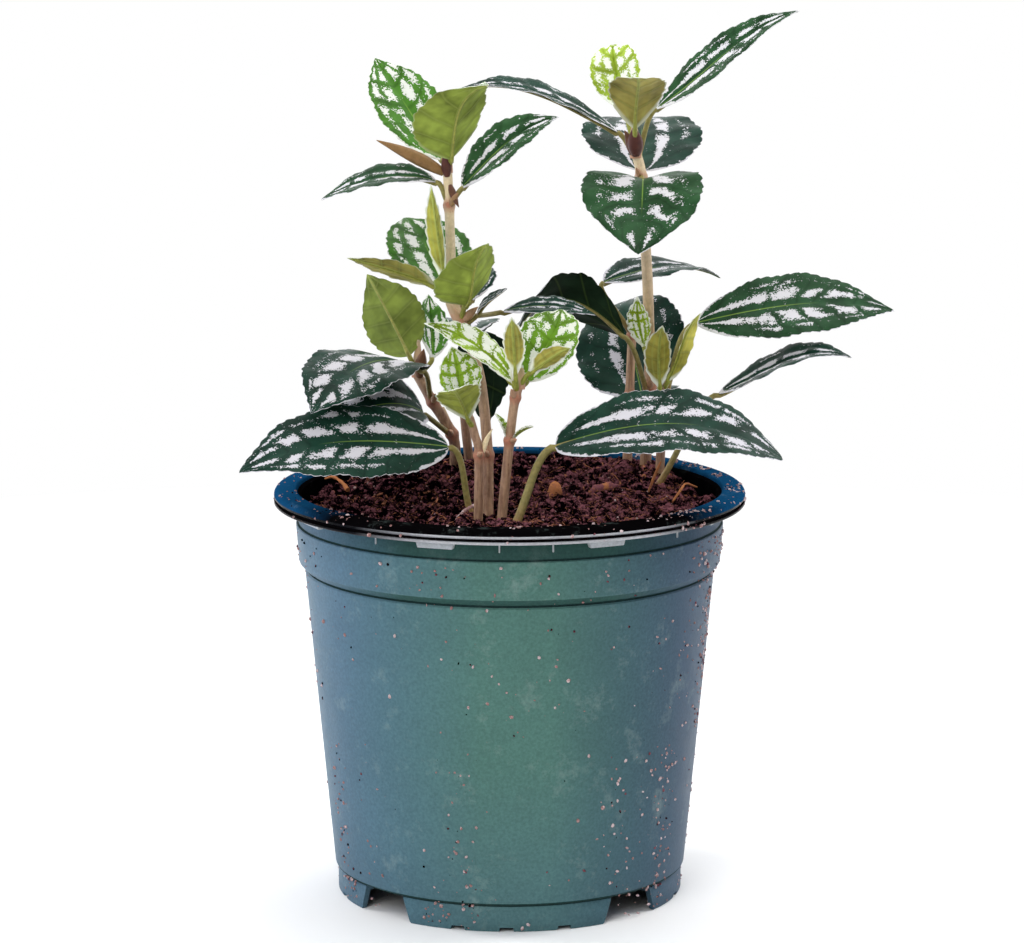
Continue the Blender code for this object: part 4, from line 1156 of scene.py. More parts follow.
def make_lugs(material):
    """Lugs under the lip, on which a stack of empty pots rests, and the fine ticks between them."""
    bm = bmesh.new()
    for index in range(LUGS):
        add_box(bm, LUG, LUG_FIRST_ANGLE + 360.0 / LUGS * index, LUG_NARROWING)
    for angle in TICK_ANGLES:
        add_box(bm, TICK, angle)
    bmesh.ops.bevel(
        bm, geom=bm.edges[:], offset=LUG_BEVEL * MM, segments=LUG_BEVEL_STEPS, affect="EDGES",
    )
    piece = mesh_object("pot_lugs", bm)
    # The material is the pale grey of painted highlight on the lugs and ticks
    finish_mesh(piece.data, [material], LUG_SHARP)
    register_piece(piece)


# Soil


def soil_height(x, y, roughness):
    rise = sum(
        height * np.exp(-((x - cx) ** 2 + (y - cy) ** 2) / (2 * spread**2))
        for cx, cy, height, spread in SOIL_MOUNDS
    )
    pitch, form = SOIL_LUMPS
    bumps = [noise.fractal(Vector((px * pitch, py * pitch, 3.0)), *form) for px, py in zip(x, y)]
    return SOIL_LEVEL + rise + roughness * np.array(bumps)


def soil_shell(settings):
    """The soil's surface with its lumps, closed by a wall and a floor out of sight."""
    turn = np.linspace(0.0, 2.0 * math.pi, SOIL_SIDES, endpoint=False)
    radii = SOIL_RADIUS * np.linspace(0.0, 1.0, SOIL_RINGS + 1)[1:]
    x = np.append(0.0, np.outer(radii, np.cos(turn)))
    y = np.append(0.0, np.outer(radii, np.sin(turn)))
    surface = np.stack([x, y, soil_height(x, y, settings.roughness / MM)], axis=1)
    edge = surface[-SOIL_SIDES:].copy()
    edge[:, 2] = SOIL_LEVEL - SOIL_DEPTH
    points = np.concatenate([surface, edge, [(0.0, 0.0, SOIL_LEVEL - SOIL_DEPTH)]])
    faces = ring_faces(SOIL_RINGS + 1, SOIL_SIDES, start=1, turned=True)
    for side in range(SOIL_SIDES):
        after = (side + 1) % SOIL_SIDES
        faces.append((0, 1 + side, 1 + after))
        faces.append((len(surface) + after, len(surface) + side, len(points) - 1))
    return shell(points, faces, [0] * len(faces), tint=SOIL_TINT)


def found_shells():
    """Single things that lie on the soil: chips of bark, a shoot, thin roots and fibres."""
    shells = []
    for path, widths, material, tint in FINDS:
        points = np.array(smooth_path(path, FIND_STEPS))
        place = np.linspace(0.0, 1.0, len(points))
        radii = np.interp(place, np.linspace(0.0, 1.0, len(widths)), widths)
        bumps = np.array([noise.noise(Vector(point) * FIND_BUMPS) for point in points])
        shells.append(tube(points, radii * (1.0 + FIND_UNEVENNESS * bumps), FIND_SIDES, material, tint=tint))
    return shells


def patch_object(name, points, faces, share):
    """An open surface for things to be spread over, with how thickly they lie at each point."""
    mesh = mesh_of(name, points, faces)
    set_values(mesh, "share", share)
    return place_object(name, mesh)


def soil_patch(settings):
    """A copy of the soil's surface, covered evenly."""
    grid = np.linspace(-SOIL_PATCH_RADIUS, SOIL_PATCH_RADIUS, SOIL_PATCH_LINES)
    x, y = [axis.ravel() for axis in np.meshgrid(grid, grid, indexing="ij")]
    z = soil_height(x, y, settings.roughness / MM)
    number = np.arange(len(x)).reshape(SOIL_PATCH_LINES, SOIL_PATCH_LINES)
    corners = (number[:-1, :-1], number[1:, :-1], number[1:, 1:], number[:-1, 1:])
    quads = np.stack([corner.ravel() for corner in corners], axis=1)
    inside = x**2 + y**2 < SOIL_PATCH_RADIUS**2
    faces = quads[inside[quads].all(axis=1)].tolist()
    return patch_object("soil_patch", np.stack([x, y, z], axis=1), faces, np.ones(len(x)))


def speck_cover(place, cover):
    """How thickly specks lie at a place on the pot: in clusters, more to the right and by the spills."""
    pitch, form = SPECK_CLUSTERS
    cluster = CLUSTER_MEAN + CLUSTER_RANGE * noise.fractal(Vector(place) * pitch, *form)
    to_right = 1.0 + MORE_TO_RIGHT * float(smoothstep(*SPECKS_RIGHT, place[0]))
    spilt = sum(
        thick * math.exp(-0.5 * (math.dist(place, centre) / reach) ** 2)
        for centre, reach, thick in SPILLS
    )
    return max(0.0, cover * cluster * to_right + spilt * max(0.0, cluster))


def pot_patch():
    """Copies of the rim and the outer wall, with how thickly specks cover them."""
    turn = np.linspace(0.0, 2.0 * math.pi, PATCH_SIDES, endpoint=False)
    points, share, faces = [], [], []
    for band in SPECKED_BANDS:
        faces += ring_faces(len(band), PATCH_SIDES, start=len(points), turned=True)
        for radius, height, cover in band:
            for angle in turn:
                place = (radius * math.cos(angle), radius * math.sin(angle), height)
                points.append(place)
                share.append(speck_cover(place, cover))
    return patch_object("pot_patch", points, faces, share)


# Nodes. Math: inputs 0 to 2 are what it reckons with. Map Range: input 0 is the value, 1 and 2 are
# the range it comes from, 3 and 4 the one it goes to. Mix of colours: input 0 is the share of the
# second one, 6 and 7 are the colours. Vector Math: 3 is the scale.

MATH = "ShaderNodeMath"
RANGE = "ShaderNodeMapRange"
MIX = "ShaderNodeMix"
NOISE = "ShaderNodeTexNoise"
TINT = "ShaderNodeHueSaturation"
BUMP = "ShaderNodeBump"
RANDOM = "FunctionNodeRandomValue"


def feed(tree, node, inputs):
    """Sets or links inputs: each takes a value, a socket or a node, whose first output is used."""
    for key, value in dict(inputs).items():
        if isinstance(value, bpy.types.Node):
            value = next(socket for socket in value.outputs if socket.enabled)
        if isinstance(value, bpy.types.NodeSocket):
            tree.links.new(value, node.inputs[key])
        else:
            node.inputs[key].default_value = value


def add(tree, kind, inputs=(), **settings):
    """Adds a node with its settings and links."""
    made = tree.nodes.new(kind)
    for name, value in settings.items():
        setattr(made, name, value)
    feed(tree, made, inputs)
    return made


# Geometry Nodes


def scatter_tree(name, shape):
    """Points spread over the faces, each with a turned and scaled copy of a shape, all made real."""
    tree = bpy.data.node_groups.new(name, "GeometryNodeTree")
    face = tree.interface
    face.new_socket("Geometry", in_out="INPUT", socket_type="NodeSocketGeometry")
    for label, kind in SCATTER_INPUTS:
        face.new_socket(label, in_out="INPUT", socket_type=kind)
    face.new_socket("Geometry", in_out="OUTPUT", socket_type="NodeSocketGeometry")
    given = add(tree, "NodeGroupInput").outputs
    seed = given["Seed"]
    share = add(tree, "GeometryNodeInputNamedAttribute", {"Name": "share"}, data_type="FLOAT")
    density = add(tree, MATH, {0: given["Density"], 1: share.outputs[0]}, operation="MULTIPLY")
    spread = add(
        tree, "GeometryNodeDistributePointsOnFaces",
        {"Mesh": given["Geometry"], "Density": density, "Seed": seed}, distribute_method="RANDOM",
    )
    sizes = {"Min": given["Smallest"], "Max": given["Largest"], "Seed": seed}
    size = add(tree, RANDOM, sizes, data_type="FLOAT")
    stretches = {0: (0.55, 0.6, 0.5), 1: (1.25, 1.1, 0.9), "Seed": seed}
    stretch = add(tree, RANDOM, stretches, data_type="FLOAT_VECTOR")
    turns = {0: (0.0, 0.0, 0.0), 1: (FULL_TURN, FULL_TURN, FULL_TURN), "Seed": seed}
    spin = add(tree, RANDOM, turns, data_type="FLOAT_VECTOR")
    copies = add(
        tree, "GeometryNodeInstanceOnPoints",
        {
            "Points": spread.outputs["Points"],
            "Instance": SHAPES[shape](tree),
            "Rotation": spread.outputs["Rotation"] if shape == "fibre" else spin,
            "Scale": add(tree, "ShaderNodeVectorMath", {0: stretch, 3: size}, operation="SCALE"),
        },
    )
    if shape == "fibre":
        leaning = {0: (-0.5, -0.5, 0.0), 1: (0.5, 0.5, FULL_TURN), "Seed": seed}
        around = add(tree, RANDOM, leaning, data_type="FLOAT_VECTOR")
        copies = add(tree, "GeometryNodeRotateInstances", {"Instances": copies, "Rotation": around})
    tint = add(tree, RANDOM, {"Min": 0.0, "Max": 1.0, "Seed": seed}, data_type="FLOAT")
    tinted = add(
        tree, "GeometryNodeStoreNamedAttribute", {"Geometry": copies, "Name": "tint", "Value": tint},
        data_type="FLOAT", domain="INSTANCE",
    )
    real = add(tree, "GeometryNodeRealizeInstances", {"Geometry": tinted})
    place = add(tree, "GeometryNodeInputPosition")
    lumps = add(tree, NOISE, {"Vector": place, "Scale": given["Lump scale"], "Detail": 1.0})
    halves = {0: lumps.outputs["Color"], 1: (0.5, 0.5, 0.5)}
    centred = add(tree, "ShaderNodeVectorMath", halves, operation="SUBTRACT")
    push = add(tree, "ShaderNodeVectorMath", {0: centred, 3: given["Lump height"]}, operation="SCALE")
    bent = add(tree, "GeometryNodeSetPosition", {"Geometry": real, "Offset": push})
    finished = add(tree, "GeometryNodeSetMaterial", {"Geometry": bent, "Material": given["Material"]})
    add(tree, "NodeGroupOutput", {"Geometry": finished})
    return tree


def grain_shape(tree):
    grain = add(tree, "GeometryNodeMeshIcoSphere", {"Radius": 1.0, "Subdivisions": 1})
    return grain.outputs["Mesh"]


def fibre_shape(tree):
    """A thin curved thread, one unit to each side."""
    path = add(
        tree, "GeometryNodeCurveQuadraticBezier",
        {
            "Resolution": 5,
            "Start": (-1.0, -0.15, -0.1), "Middle": (0.1, 0.7, 0.35), "End": (1.0, -0.2, 0.1),
        },
    )
    section = add(tree, "GeometryNodeCurvePrimitiveCircle", {"Resolution": 4, "Radius": 0.045})
    return add(
        tree, "GeometryNodeCurveToMesh",
        {"Curve": path, "Profile Curve": section.outputs["Curve"], "Fill Caps": True},
    )


# In radians, for turning at random
FULL_TURN = 6.283
SHAPES = {"grain": grain_shape, "fibre": fibre_shape}
SCATTER_INPUTS = (
    ("Density", "NodeSocketFloat"),
    ("Seed", "NodeSocketInt"),
    ("Smallest", "NodeSocketFloat"),
    ("Largest", "NodeSocketFloat"),
    ("Lump scale", "NodeSocketFloat"),
    ("Lump height", "NodeSocketFloat"),
    ("Material", "NodeSocketMaterial"),
)


def scatter(surface, name, shape, values):
    """Spreads a shape over a surface and keeps the result as a plain mesh."""
    tree = bpy.data.node_groups.get("Spread " + shape) or scatter_tree("Spread " + shape, shape)
    modifier = surface.modifiers.new(name, "NODES")
    modifier.node_group = tree
    for item in tree.interface.items_tree:
        if item.in_out == "INPUT" and item.name in values:
            modifier[item.identifier] = values[item.name]
    mesh = result_mesh(surface)
    mesh.name = name
    mesh.shade_flat()
    register_piece(place_object(name, mesh))


def spread_all(spreads, surface, settings):
    """Spreads each thing of a table over a surface, which is then removed."""
    for name, (shape, setting, seed, smallest, largest, width, height, material) in spreads.items():
        scatter(surface, name, shape, {
            "Density": float(getattr(settings, setting)),
            "Seed": seed,
            "Smallest": smallest * MM,
            "Largest": largest * MM,
            "Lump scale": 1.0 / (width * MM),
            "Lump height": height * MM,
            "Material": bpy.data.materials[material],
        })
    bpy.data.objects.remove(surface)


# Materials. A pattern is the width of its spots in millimetres, its detail and its roughness. The cells
# of the leaves and the moulded grain of the pot are finer than this, and are drawn as coarse as they
# need to show.

UNDERSIDE_PATTERNS = {"grain": (0.5882, 2.0, 0.6), "cloud": (11.11, 3.0, 0.6)}
LEAF_PATTERNS = {**UNDERSIDE_PATTERNS, "ragged": (3.03, 4.0, 0.72), "drift": (11.76, 2.0, 0.5)}
STALK_PATTERNS = {"streak": (1.429, 4.0, 0.5)}
STEM_PATTERNS = {"spots": (2.381, 4.0, 0.7)}
STEM_STREAKS = (1.111, 4.0, 0.6)
STREAK_STRETCH = 0.12
PLASTIC_PATTERNS = {"grain": (1.0, 2.0, 0.6), "cloud": (45.45, 3.0, 0.6), "scuff": (14.29, 6.0, 0.8)}
SOIL_PATTERNS = {"grit": (1.25, 4.0, 0.8), "clods": (4.0, 2.0, 0.5)}
# How far the cross veins wander, counted in veins, how much the rows of patches swell and shrink,
# and how deep their edges are torn
VEIN_WANDER = 1.3
ROW_SWELLING = 2.2
TEARS = {"ragged": 2.1, "grain": 2.2}


def pattern_inputs(place, pattern):
    width, detail, roughness = pattern
    return {"Vector": place, "Scale": 1.0 / (width * MM), "Detail": detail, "Roughness": roughness}


def new_material(name, attributes=(), patterns=()):
    """A material, its tree and shader, and what it reads: attributes, the place and patterns on it."""
    material = bpy.data.materials.new(name)
    material.use_nodes = True
    tree = material.node_tree
    read = {key: add(tree, "ShaderNodeAttribute", attribute_name=key).outputs["Fac"] for key in attributes}
    read["place"] = add(tree, "ShaderNodeTexCoord").outputs["Object"]
    for key, pattern in dict(patterns).items():
        read[key] = add(tree, NOISE, pattern_inputs(read["place"], pattern))
    return material, tree, tree.nodes["Principled BSDF"], read


def leaf_material(settings):
    """Upper face of a leaf: silver patches between its veins and along its margin, where air lies under
    the skin, with ragged edges and specks round them. The green is glossier than the silver."""
    attributes = ("row", "cross", "opening", "rim", "midrib", "along", "age")
    material, tree, shader, read = new_material("variegated leaf", attributes, LEAF_PATTERNS)
    age, grain, ragged = read["age"], read["grain"], read["ragged"]
    drift = add(tree, "ShaderNodeSeparateXYZ", {"Vector": read["drift"].outputs["Color"]}).outputs
    shifted = add(tree, MATH, {0: drift[0], 1: VEIN_WANDER, 2: read["cross"]}, operation="MULTIPLY_ADD")
    vein = add(tree, MATH, {0: shifted, 1: 0.5}, operation="PINGPONG")
    wide = add(tree, MATH, {0: vein, 1: 2.6}, operation="MULTIPLY")
    clear = add(tree, MATH, {0: wide, 1: read["opening"]}, operation="SUBTRACT")
    clear = add(tree, MATH, {0: clear, 1: 1.3}, operation="MULTIPLY")
    swelling = {0: drift[1], 1: ROW_SWELLING, 2: -0.5 * ROW_SWELLING}
    swelling = add(tree, MATH, swelling, operation="MULTIPLY_ADD")
    row = add(tree, MATH, {0: read["row"], 1: swelling}, operation="ADD")
    patch = add(tree, MATH, {0: row, 1: clear, 2: 0.5}, operation="SMOOTH_MIN")
    for key, depth in TEARS.items():
        tear = add(tree, MATH, {0: read[key], 1: depth, 2: -0.5 * depth}, operation="MULTIPLY_ADD")
        patch = add(tree, MATH, {0: patch, 1: tear}, operation="ADD")
    silver = add(tree, RANGE, {0: patch, 1: 0.04, 2: 0.13})
    specks = add(tree, MATH, {0: grain, 1: ragged}, operation="MULTIPLY")
    specks = add(tree, RANGE, {0: specks, 1: 0.39, 2: 0.415, 3: 0.0, 4: 0.75})
    silver = add(tree, MATH, {0: silver, 1: specks}, operation="MAXIMUM")
    edge = add(tree, MATH, {0: ragged, 1: 4.4, 2: -1.3}, operation="MULTIPLY_ADD")
    edge = add(tree, MATH, {0: edge, 1: read["rim"]}, operation="SUBTRACT")
    margin = add(tree, RANGE, {0: edge, 1: 0.0, 2: 0.25})
    white = add(tree, MATH, {0: silver, 1: margin}, operation="MAXIMUM")
    greens = {0: age, 6: rgba(settings.grown_green), 7: rgba(settings.young_green)}
    green = add(tree, MIX, greens, data_type="RGBA")
    fresh = add(tree, RANGE, {0: age, 1: 0.8, 2: 1.0})
    green = add(tree, MIX, {0: fresh, 6: green, 7: rgba(settings.new_green)}, data_type="RGBA")
    shade = add(tree, RANGE, {0: read["cloud"], 1: 0.3, 2: 0.7, 3: 0.6, 4: 1.4})
    # Painted shade in the sunken cross veins: the green darkens towards each vein
    vein_shade = add(tree, RANGE, {0: vein, 1: 0.0, 2: 0.12, 3: 0.7, 4: 1.0})
    shade = add(tree, MATH, {0: shade, 1: vein_shade}, operation="MULTIPLY")
    green = add(tree, TINT, {"Value": shade, "Color": green})
    rib = add(tree, RANGE, {0: read["midrib"], 1: 0.32, 2: 0.14})
    fade = add(tree, RANGE, {0: read["along"], 1: 0.62, 2: 0.4, 3: 0.0, 4: 0.5})
    rib = add(tree, MATH, {0: rib, 1: fade}, operation="MULTIPLY")
    green = add(tree, MIX, {0: rib, 6: green, 7: rgba(settings.rib_green)}, data_type="RGBA")
    silvers = {0: age, 6: rgba(settings.silver), 7: rgba(settings.young_silver)}
    bright = add(tree, MIX, silvers, data_type="RGBA")
    colour = add(tree, MIX, {0: white, 6: green, 7: bright}, data_type="RGBA")
    gloss = add(tree, RANGE, {0: white, 3: 0.38, 4: 0.55})
    height = add(tree, MATH, {0: grain, 1: 0.8, 2: white}, operation="MULTIPLY_ADD")
    bump = add(tree, BUMP, {"Height": height, "Strength": 0.5, "Distance": 0.14 * MM})
    feed(tree, shader, {
        "Base Color": colour, "Roughness": gloss, "Specular IOR Level": 0.07, "Normal": bump,
    })
    return material


def underside_material(settings):
    """Lower face of a leaf: dull olive with raised, paler veins, and a pale margin on young leaves."""
    attributes = ("cross", "rim", "midrib", "lateral", "age", "bronze")
    material, tree, shader, read = new_material("leaf underside", attributes, UNDERSIDE_PATTERNS)
    age = read["age"]
    vein = add(tree, MATH, {0: read["cross"], 1: 0.5}, operation="PINGPONG")
    pale = add(tree, RANGE, {0: vein, 1: 0.06, 2: 0.02, 3: 0.0, 4: 0.35})
    rib = add(tree, RANGE, {0: read["midrib"], 1: 0.8, 2: 0.35, 3: 0.0, 4: 0.9})
    lateral = add(tree, RANGE, {0: read["lateral"], 1: 0.45, 2: 0.15, 3: 0.0, 4: 0.45})
    for other in (lateral, rib):
        pale = add(tree, MATH, {0: pale, 1: other}, operation="MAXIMUM")
    greens = {0: age, 6: rgba(settings.grown_under), 7: rgba(settings.young_under)}
    green = add(tree, MIX, greens, data_type="RGBA")
    new = add(tree, RANGE, {0: age, 1: 0.9, 2: 1.0})
    for share, over in ((new, settings.new_under), (read["bronze"], settings.bronze)):
        green = add(tree, MIX, {0: share, 6: green, 7: rgba(over)}, data_type="RGBA")
    shade = add(tree, RANGE, {0: read["cloud"], 1: 0.3, 2: 0.7, 3: 0.55, 4: 1.4})
    # Painted shade beside the cross veins: the green darkens towards each vein
    vein_shade = add(tree, RANGE, {0: vein, 1: 0.02, 2: 0.2, 3: 0.75, 4: 1.05})
    shade = add(tree, MATH, {0: shade, 1: vein_shade}, operation="MULTIPLY")
    green = add(tree, TINT, {"Value": shade, "Color": green})
    veins = {0: age, 6: rgba(settings.grown_vein), 7: rgba(settings.young_vein)}
    light = add(tree, MIX, veins, data_type="RGBA")
    colour = add(tree, MIX, {0: pale, 6: green, 7: light}, data_type="RGBA")
    edge = add(tree, RANGE, {0: read["rim"], 1: 1.5, 2: 0.5})
    young = add(tree, RANGE, {0: age, 1: 0.7, 2: 1.0})
    edge = add(tree, MATH, {0: edge, 1: young}, operation="MULTIPLY")
    colour = add(tree, MIX, {0: edge, 6: colour, 7: rgba(settings.young_silver)}, data_type="RGBA")
    height = add(tree, MATH, {0: read["grain"], 1: 0.5, 2: pale}, operation="MULTIPLY_ADD")
    bump = add(tree, BUMP, {"Height": height, "Strength": 0.5, "Distance": 0.14 * MM})
    feed(tree, shader, {
        "Base Color": colour, "Roughness": 0.5, "Specular IOR Level": 0.08, "Normal": bump,
    })
    return material


def stalk_material(settings):
    """Leaf stalk: green tissue, olive under grown leaves and yellow-green under young ones, waxy."""
    material, tree, shader, read = new_material("leaf stalk tissue", ("age", "along"), STALK_PATTERNS)
    greens = {0: read["age"], 6: rgba(settings.grown_stalk), 7: rgba(settings.young_stalk)}
    green = add(tree, MIX, greens, data_type="RGBA")
    warm = add(tree, RANGE, {0: read["along"], 1: 0.16, 2: 0.0, 3: 0.0, 4: 0.6})
    colour = add(tree, MIX, {0: warm, 6: green, 7: rgba(settings.stalk_base)}, data_type="RGBA")
    shade = add(tree, RANGE, {0: read["streak"], 1: 0.3, 2: 0.7, 3: 0.75, 4: 1.2})
    colour = add(tree, TINT, {"Value": shade, "Color": colour})
    bump = add(tree, BUMP, {"Height": read["streak"], "Strength": 0.2, "Distance": 0.1 * MM})
    feed(tree, shader, {
        "Base Color": colour, "Roughness": 0.42, "Specular IOR Level": 0.18, "Normal": bump,
    })
    return material


def stem_material(settings):
    """Herbaceous stem: tan streaked with brown below, pale green above, pink at the nodes, half dull."""
    attributes = ("pink", "green", "dry")
    material, tree, shader, read = new_material("herbaceous stem", attributes, STEM_PATTERNS)
    spots = read["spots"]
    stretch = (1.0, 1.0, STREAK_STRETCH)
    drawn = add(tree, "ShaderNodeMapping", {"Vector": read["place"], "Scale": stretch})
    streak = add(tree, NOISE, pattern_inputs(drawn, STEM_STREAKS))
    tan = add(tree, RANGE, {0: streak, 1: 0.35, 2: 0.65})
    blush = add(tree, MATH, {0: read["pink"], 1: spots}, operation="MULTIPLY")
    blush = add(tree, RANGE, {0: blush, 1: 0.12, 2: 0.55})
    scar = add(tree, RANGE, {0: spots, 1: 0.66, 2: 0.72, 3: 0.0, 4: 0.5})
    dryness = add(tree, RANGE, {0: read["dry"], 1: 0.1, 2: 0.4, 3: 0.0, 4: 0.95})
    husks = {0: read["dry"], 6: rgba(settings.husk), 7: rgba(settings.dried)}
    husk = add(tree, MIX, husks, data_type="RGBA")
    colour = rgba(settings.brown)
    for share, over in (
        (tan, rgba(settings.tan)), (read["green"], rgba(settings.green)), (blush, rgba(settings.pink)),
        (scar, rgba(settings.scar)), (dryness, husk),
    ):
        colour = add(tree, MIX, {0: share, 6: colour, 7: over}, data_type="RGBA")
    mottle = add(tree, RANGE, {0: spots, 1: 0.3, 2: 0.7, 3: 0.8, 4: 1.2})
    colour = add(tree, TINT, {"Value": mottle, "Color": colour})
    bump = add(tree, BUMP, {"Height": streak, "Strength": 0.3, "Distance": 0.15 * MM})
    feed(tree, shader, {
        "Base Color": colour, "Roughness": 0.5, "Specular IOR Level": 0.18, "Normal": bump,
    })
    return material


def pot_material(name, settings):
    """Moulded polypropylene: a fine moulded grain, dull scuffs, a film of dust and tinges of painted
    reflection.
    """
    colour, dust, roughness, gloss, tinges = PLASTICS[name]
    material, tree, shader, read = new_material(name, (), PLASTIC_PATTERNS)
    grain, scuff = read["grain"], read["scuff"]
    axes = add(tree, "ShaderNodeSeparateXYZ", {"Vector": read["place"]}).outputs
    base = rgba(getattr(settings, colour))
    # The tinges paint reflection: cool blue at the sides and back, and dark where the lip's highlight fades
    for axis, start, full, tinge in tinges:
        share = add(tree, RANGE, {0: axes[axis], 1: start * MM, 2: full * MM})
        tinged = {0: share, 6: base, 7: rgba(getattr(settings, tinge))}
        base = add(tree, MIX, tinged, data_type="RGBA")
    shade = add(tree, RANGE, {0: read["cloud"], 1: 0.3, 2: 0.7, 3: 0.93, 4: 1.07})
    fleck = add(tree, RANGE, {0: grain, 1: 0.3, 2: 0.7, 3: 0.86, 4: 1.14})
    shade = add(tree, MATH, {0: shade, 1: fleck}, operation="MULTIPLY")
    base = add(tree, TINT, {"Value": shade, "Color": base})
    film = add(tree, RANGE, {0: scuff, 1: 0.55, 2: 0.75, 3: 0.0, 4: dust})
    base = add(tree, MIX, {0: film, 6: base, 7: rgba(settings.dust)}, data_type="RGBA")
    dull = add(tree, RANGE, {0: scuff, 1: 0.4, 2: 0.7, 3: roughness, 4: roughness + 0.12})
    bump = add(tree, BUMP, {"Height": grain, "Strength": 0.4, "Distance": 0.15 * MM})
    feed(tree, shader, {
        "Base Color": base, "Roughness": dull, "IOR": 1.49, "Specular IOR Level": gloss, "Normal": bump,
    })
    return material


def soil_material(name, dark, light):
    """Peat, coir, bark and grit: each crumb has its own tone between a dark and a light one, quite dull,
    with painted shade in patches between the clods, and the soil is lighter to the right."""
    material, tree, shader, read = new_material(name, ("tint",), SOIL_PATTERNS)
    grit = read["grit"]
    mixed = add(tree, MATH, {0: grit, 1: 5.0, 2: -2.5}, operation="MULTIPLY_ADD")
    # Painted shade between the clods: the crumbs darken in patches of clod size
    deep = add(tree, RANGE, {0: read["clods"], 1: 0.4, 2: 0.6, 3: -0.9, 4: 0.1})
    across = add(tree, "ShaderNodeSeparateXYZ", {"Vector": read["place"]}).outputs["X"]
    # The soil is lighter to the right
    lighter_right = add(tree, RANGE, {0: across, 1: -30.0 * MM, 2: 50.0 * MM, 3: 0.0, 4: 0.3})
    share = read["tint"]
    for change in (mixed, deep, lighter_right):
        share = add(tree, MATH, {0: share, 1: change}, operation="ADD")
    share = add(tree, RANGE, {0: share, 1: 0.25, 2: 1.1})
    colour = add(tree, MIX, {0: share, 6: rgba(dark), 7: rgba(light)}, data_type="RGBA")
    bump = add(tree, BUMP, {"Height": grit, "Strength": 0.9, "Distance": 0.8 * MM})
    feed(tree, shader, {
        "Base Color": colour, "Roughness": 0.8, "Specular IOR Level": 0.0, "Normal": bump,
    })
    return material


def paper_material(colour):
    """Plain matt paper for the floor and the backdrop. It fades to white away from the plant as the camera
    sees it, and it is clear from behind, so that views from there are free."""
    material, tree, shader, read = new_material("white paper")
    feed(tree, shader, {"Base Color": rgba(colour), "Roughness": 0.9})
    distance = add(tree, "ShaderNodeVectorMath", {0: read["place"]}, operation="LENGTH").outputs["Value"]
    far = add(tree, RANGE, {0: distance, 1: WHITE_FROM * MM, 2: WHITE_FULL * MM})
    seen = add(tree, "ShaderNodeLightPath").outputs["Is Camera Ray"]
    share = add(tree, MATH, {0: far, 1: seen}, operation="MULTIPLY")
    glow = add(tree, "ShaderNodeEmission", {"Color": rgba(WHITE), "Strength": 1.0})
    paper = add(tree, "ShaderNodeMixShader", {0: share, 1: shader.outputs[0], 2: glow})
    behind = add(tree, "ShaderNodeNewGeometry").outputs["Backfacing"]
    clear = add(tree, "ShaderNodeBsdfTransparent")
    mixed = add(tree, "ShaderNodeMixShader", {0: behind, 1: paper, 2: clear})
    feed(tree, tree.nodes["Material Output"], {"Surface": mixed})
    return material


# Settings


def colour_setting(name, description, colour):
    return FloatVectorProperty(
        name=name, description=description, subtype="COLOR", size=3, min=0.0, max=1.0,
        default=linear(colour),
    )


def length_setting(name, description, millimetres):
    return FloatProperty(
        name=name, description=description, unit="LENGTH", subtype="DISTANCE", min=0.0,
        default=millimetres * MM,
    )


def count_setting(name, description, number):
    return IntProperty(name=name, description=description + " for a square metre", min=0, default=number)


def power_setting(name, description, power):
    return FloatProperty(name=name, description=description, min=0.0, default=power)


class PlantLeafSettings(bpy.types.PropertyGroup):
    thickness: length_setting("Thickness", "Thickness of a blade along its midrib", 0.5)
    quilting: length_setting("Quilting", "How far the blade stands up between its veins", 0.55)
    grown_green: colour_setting("Grown green", "Upper face of grown leaves", "#18352a")
    young_green: colour_setting("Young green", "Upper face of young leaves", "#548a24")
    new_green: colour_setting("New green", "Upper face of leaves that have just opened", "#9bb032")
    silver: colour_setting("Silver", "Patches of grown leaves", "#cac8ce")
    young_silver: colour_setting("Young silver", "Patches and pale margins of young leaves", "#dfe3d4")
    rib_green: colour_setting("Midrib", "Midrib seen from above", "#8fb04a")
    grown_under: colour_setting("Grown underside", "Lower face of grown leaves", "#18291a")
    young_under: colour_setting("Young underside", "Lower face of young leaves", "#92a244")
    new_under: colour_setting("New underside", "Lower face of leaves that have just opened", "#a8a548")
    grown_vein: colour_setting("Grown veins", "Veins under grown leaves", "#465a2a")
    young_vein: colour_setting("Young veins", "Veins under young leaves", "#a2ab5a")
    grown_stalk: colour_setting("Grown stalk", "Stalks of grown leaves", "#857b48")
    young_stalk: colour_setting("Young stalk", "Stalks of young leaves", "#8d9240")
    bronze: colour_setting("Bronze", "Lower face of the brownest young leaves", "#96834a")
    stalk_base: colour_setting("Stalk base", "Where a stalk leaves its stem", "#9a6a4a")


class PlantStemSettings(bpy.types.PropertyGroup):
    tan: colour_setting("Tan", "Light streaks of the stems", "#ad8a6e")
    brown: colour_setting("Brown", "Dark streaks of the stems", "#80604c")
    green: colour_setting("Green", "Upper part of the stems", "#dfcca6")
    pink: colour_setting("Pink", "Nodes and buds", "#a86f58")
    scar: colour_setting("Scars", "Small scars on the stems", "#4d3424")
    husk: colour_setting("Husks", "Withered bracts", "#9a7a46")
    dried: colour_setting("Dried buds", "Dark dry buds at the tops of the stems", "#4a2522")


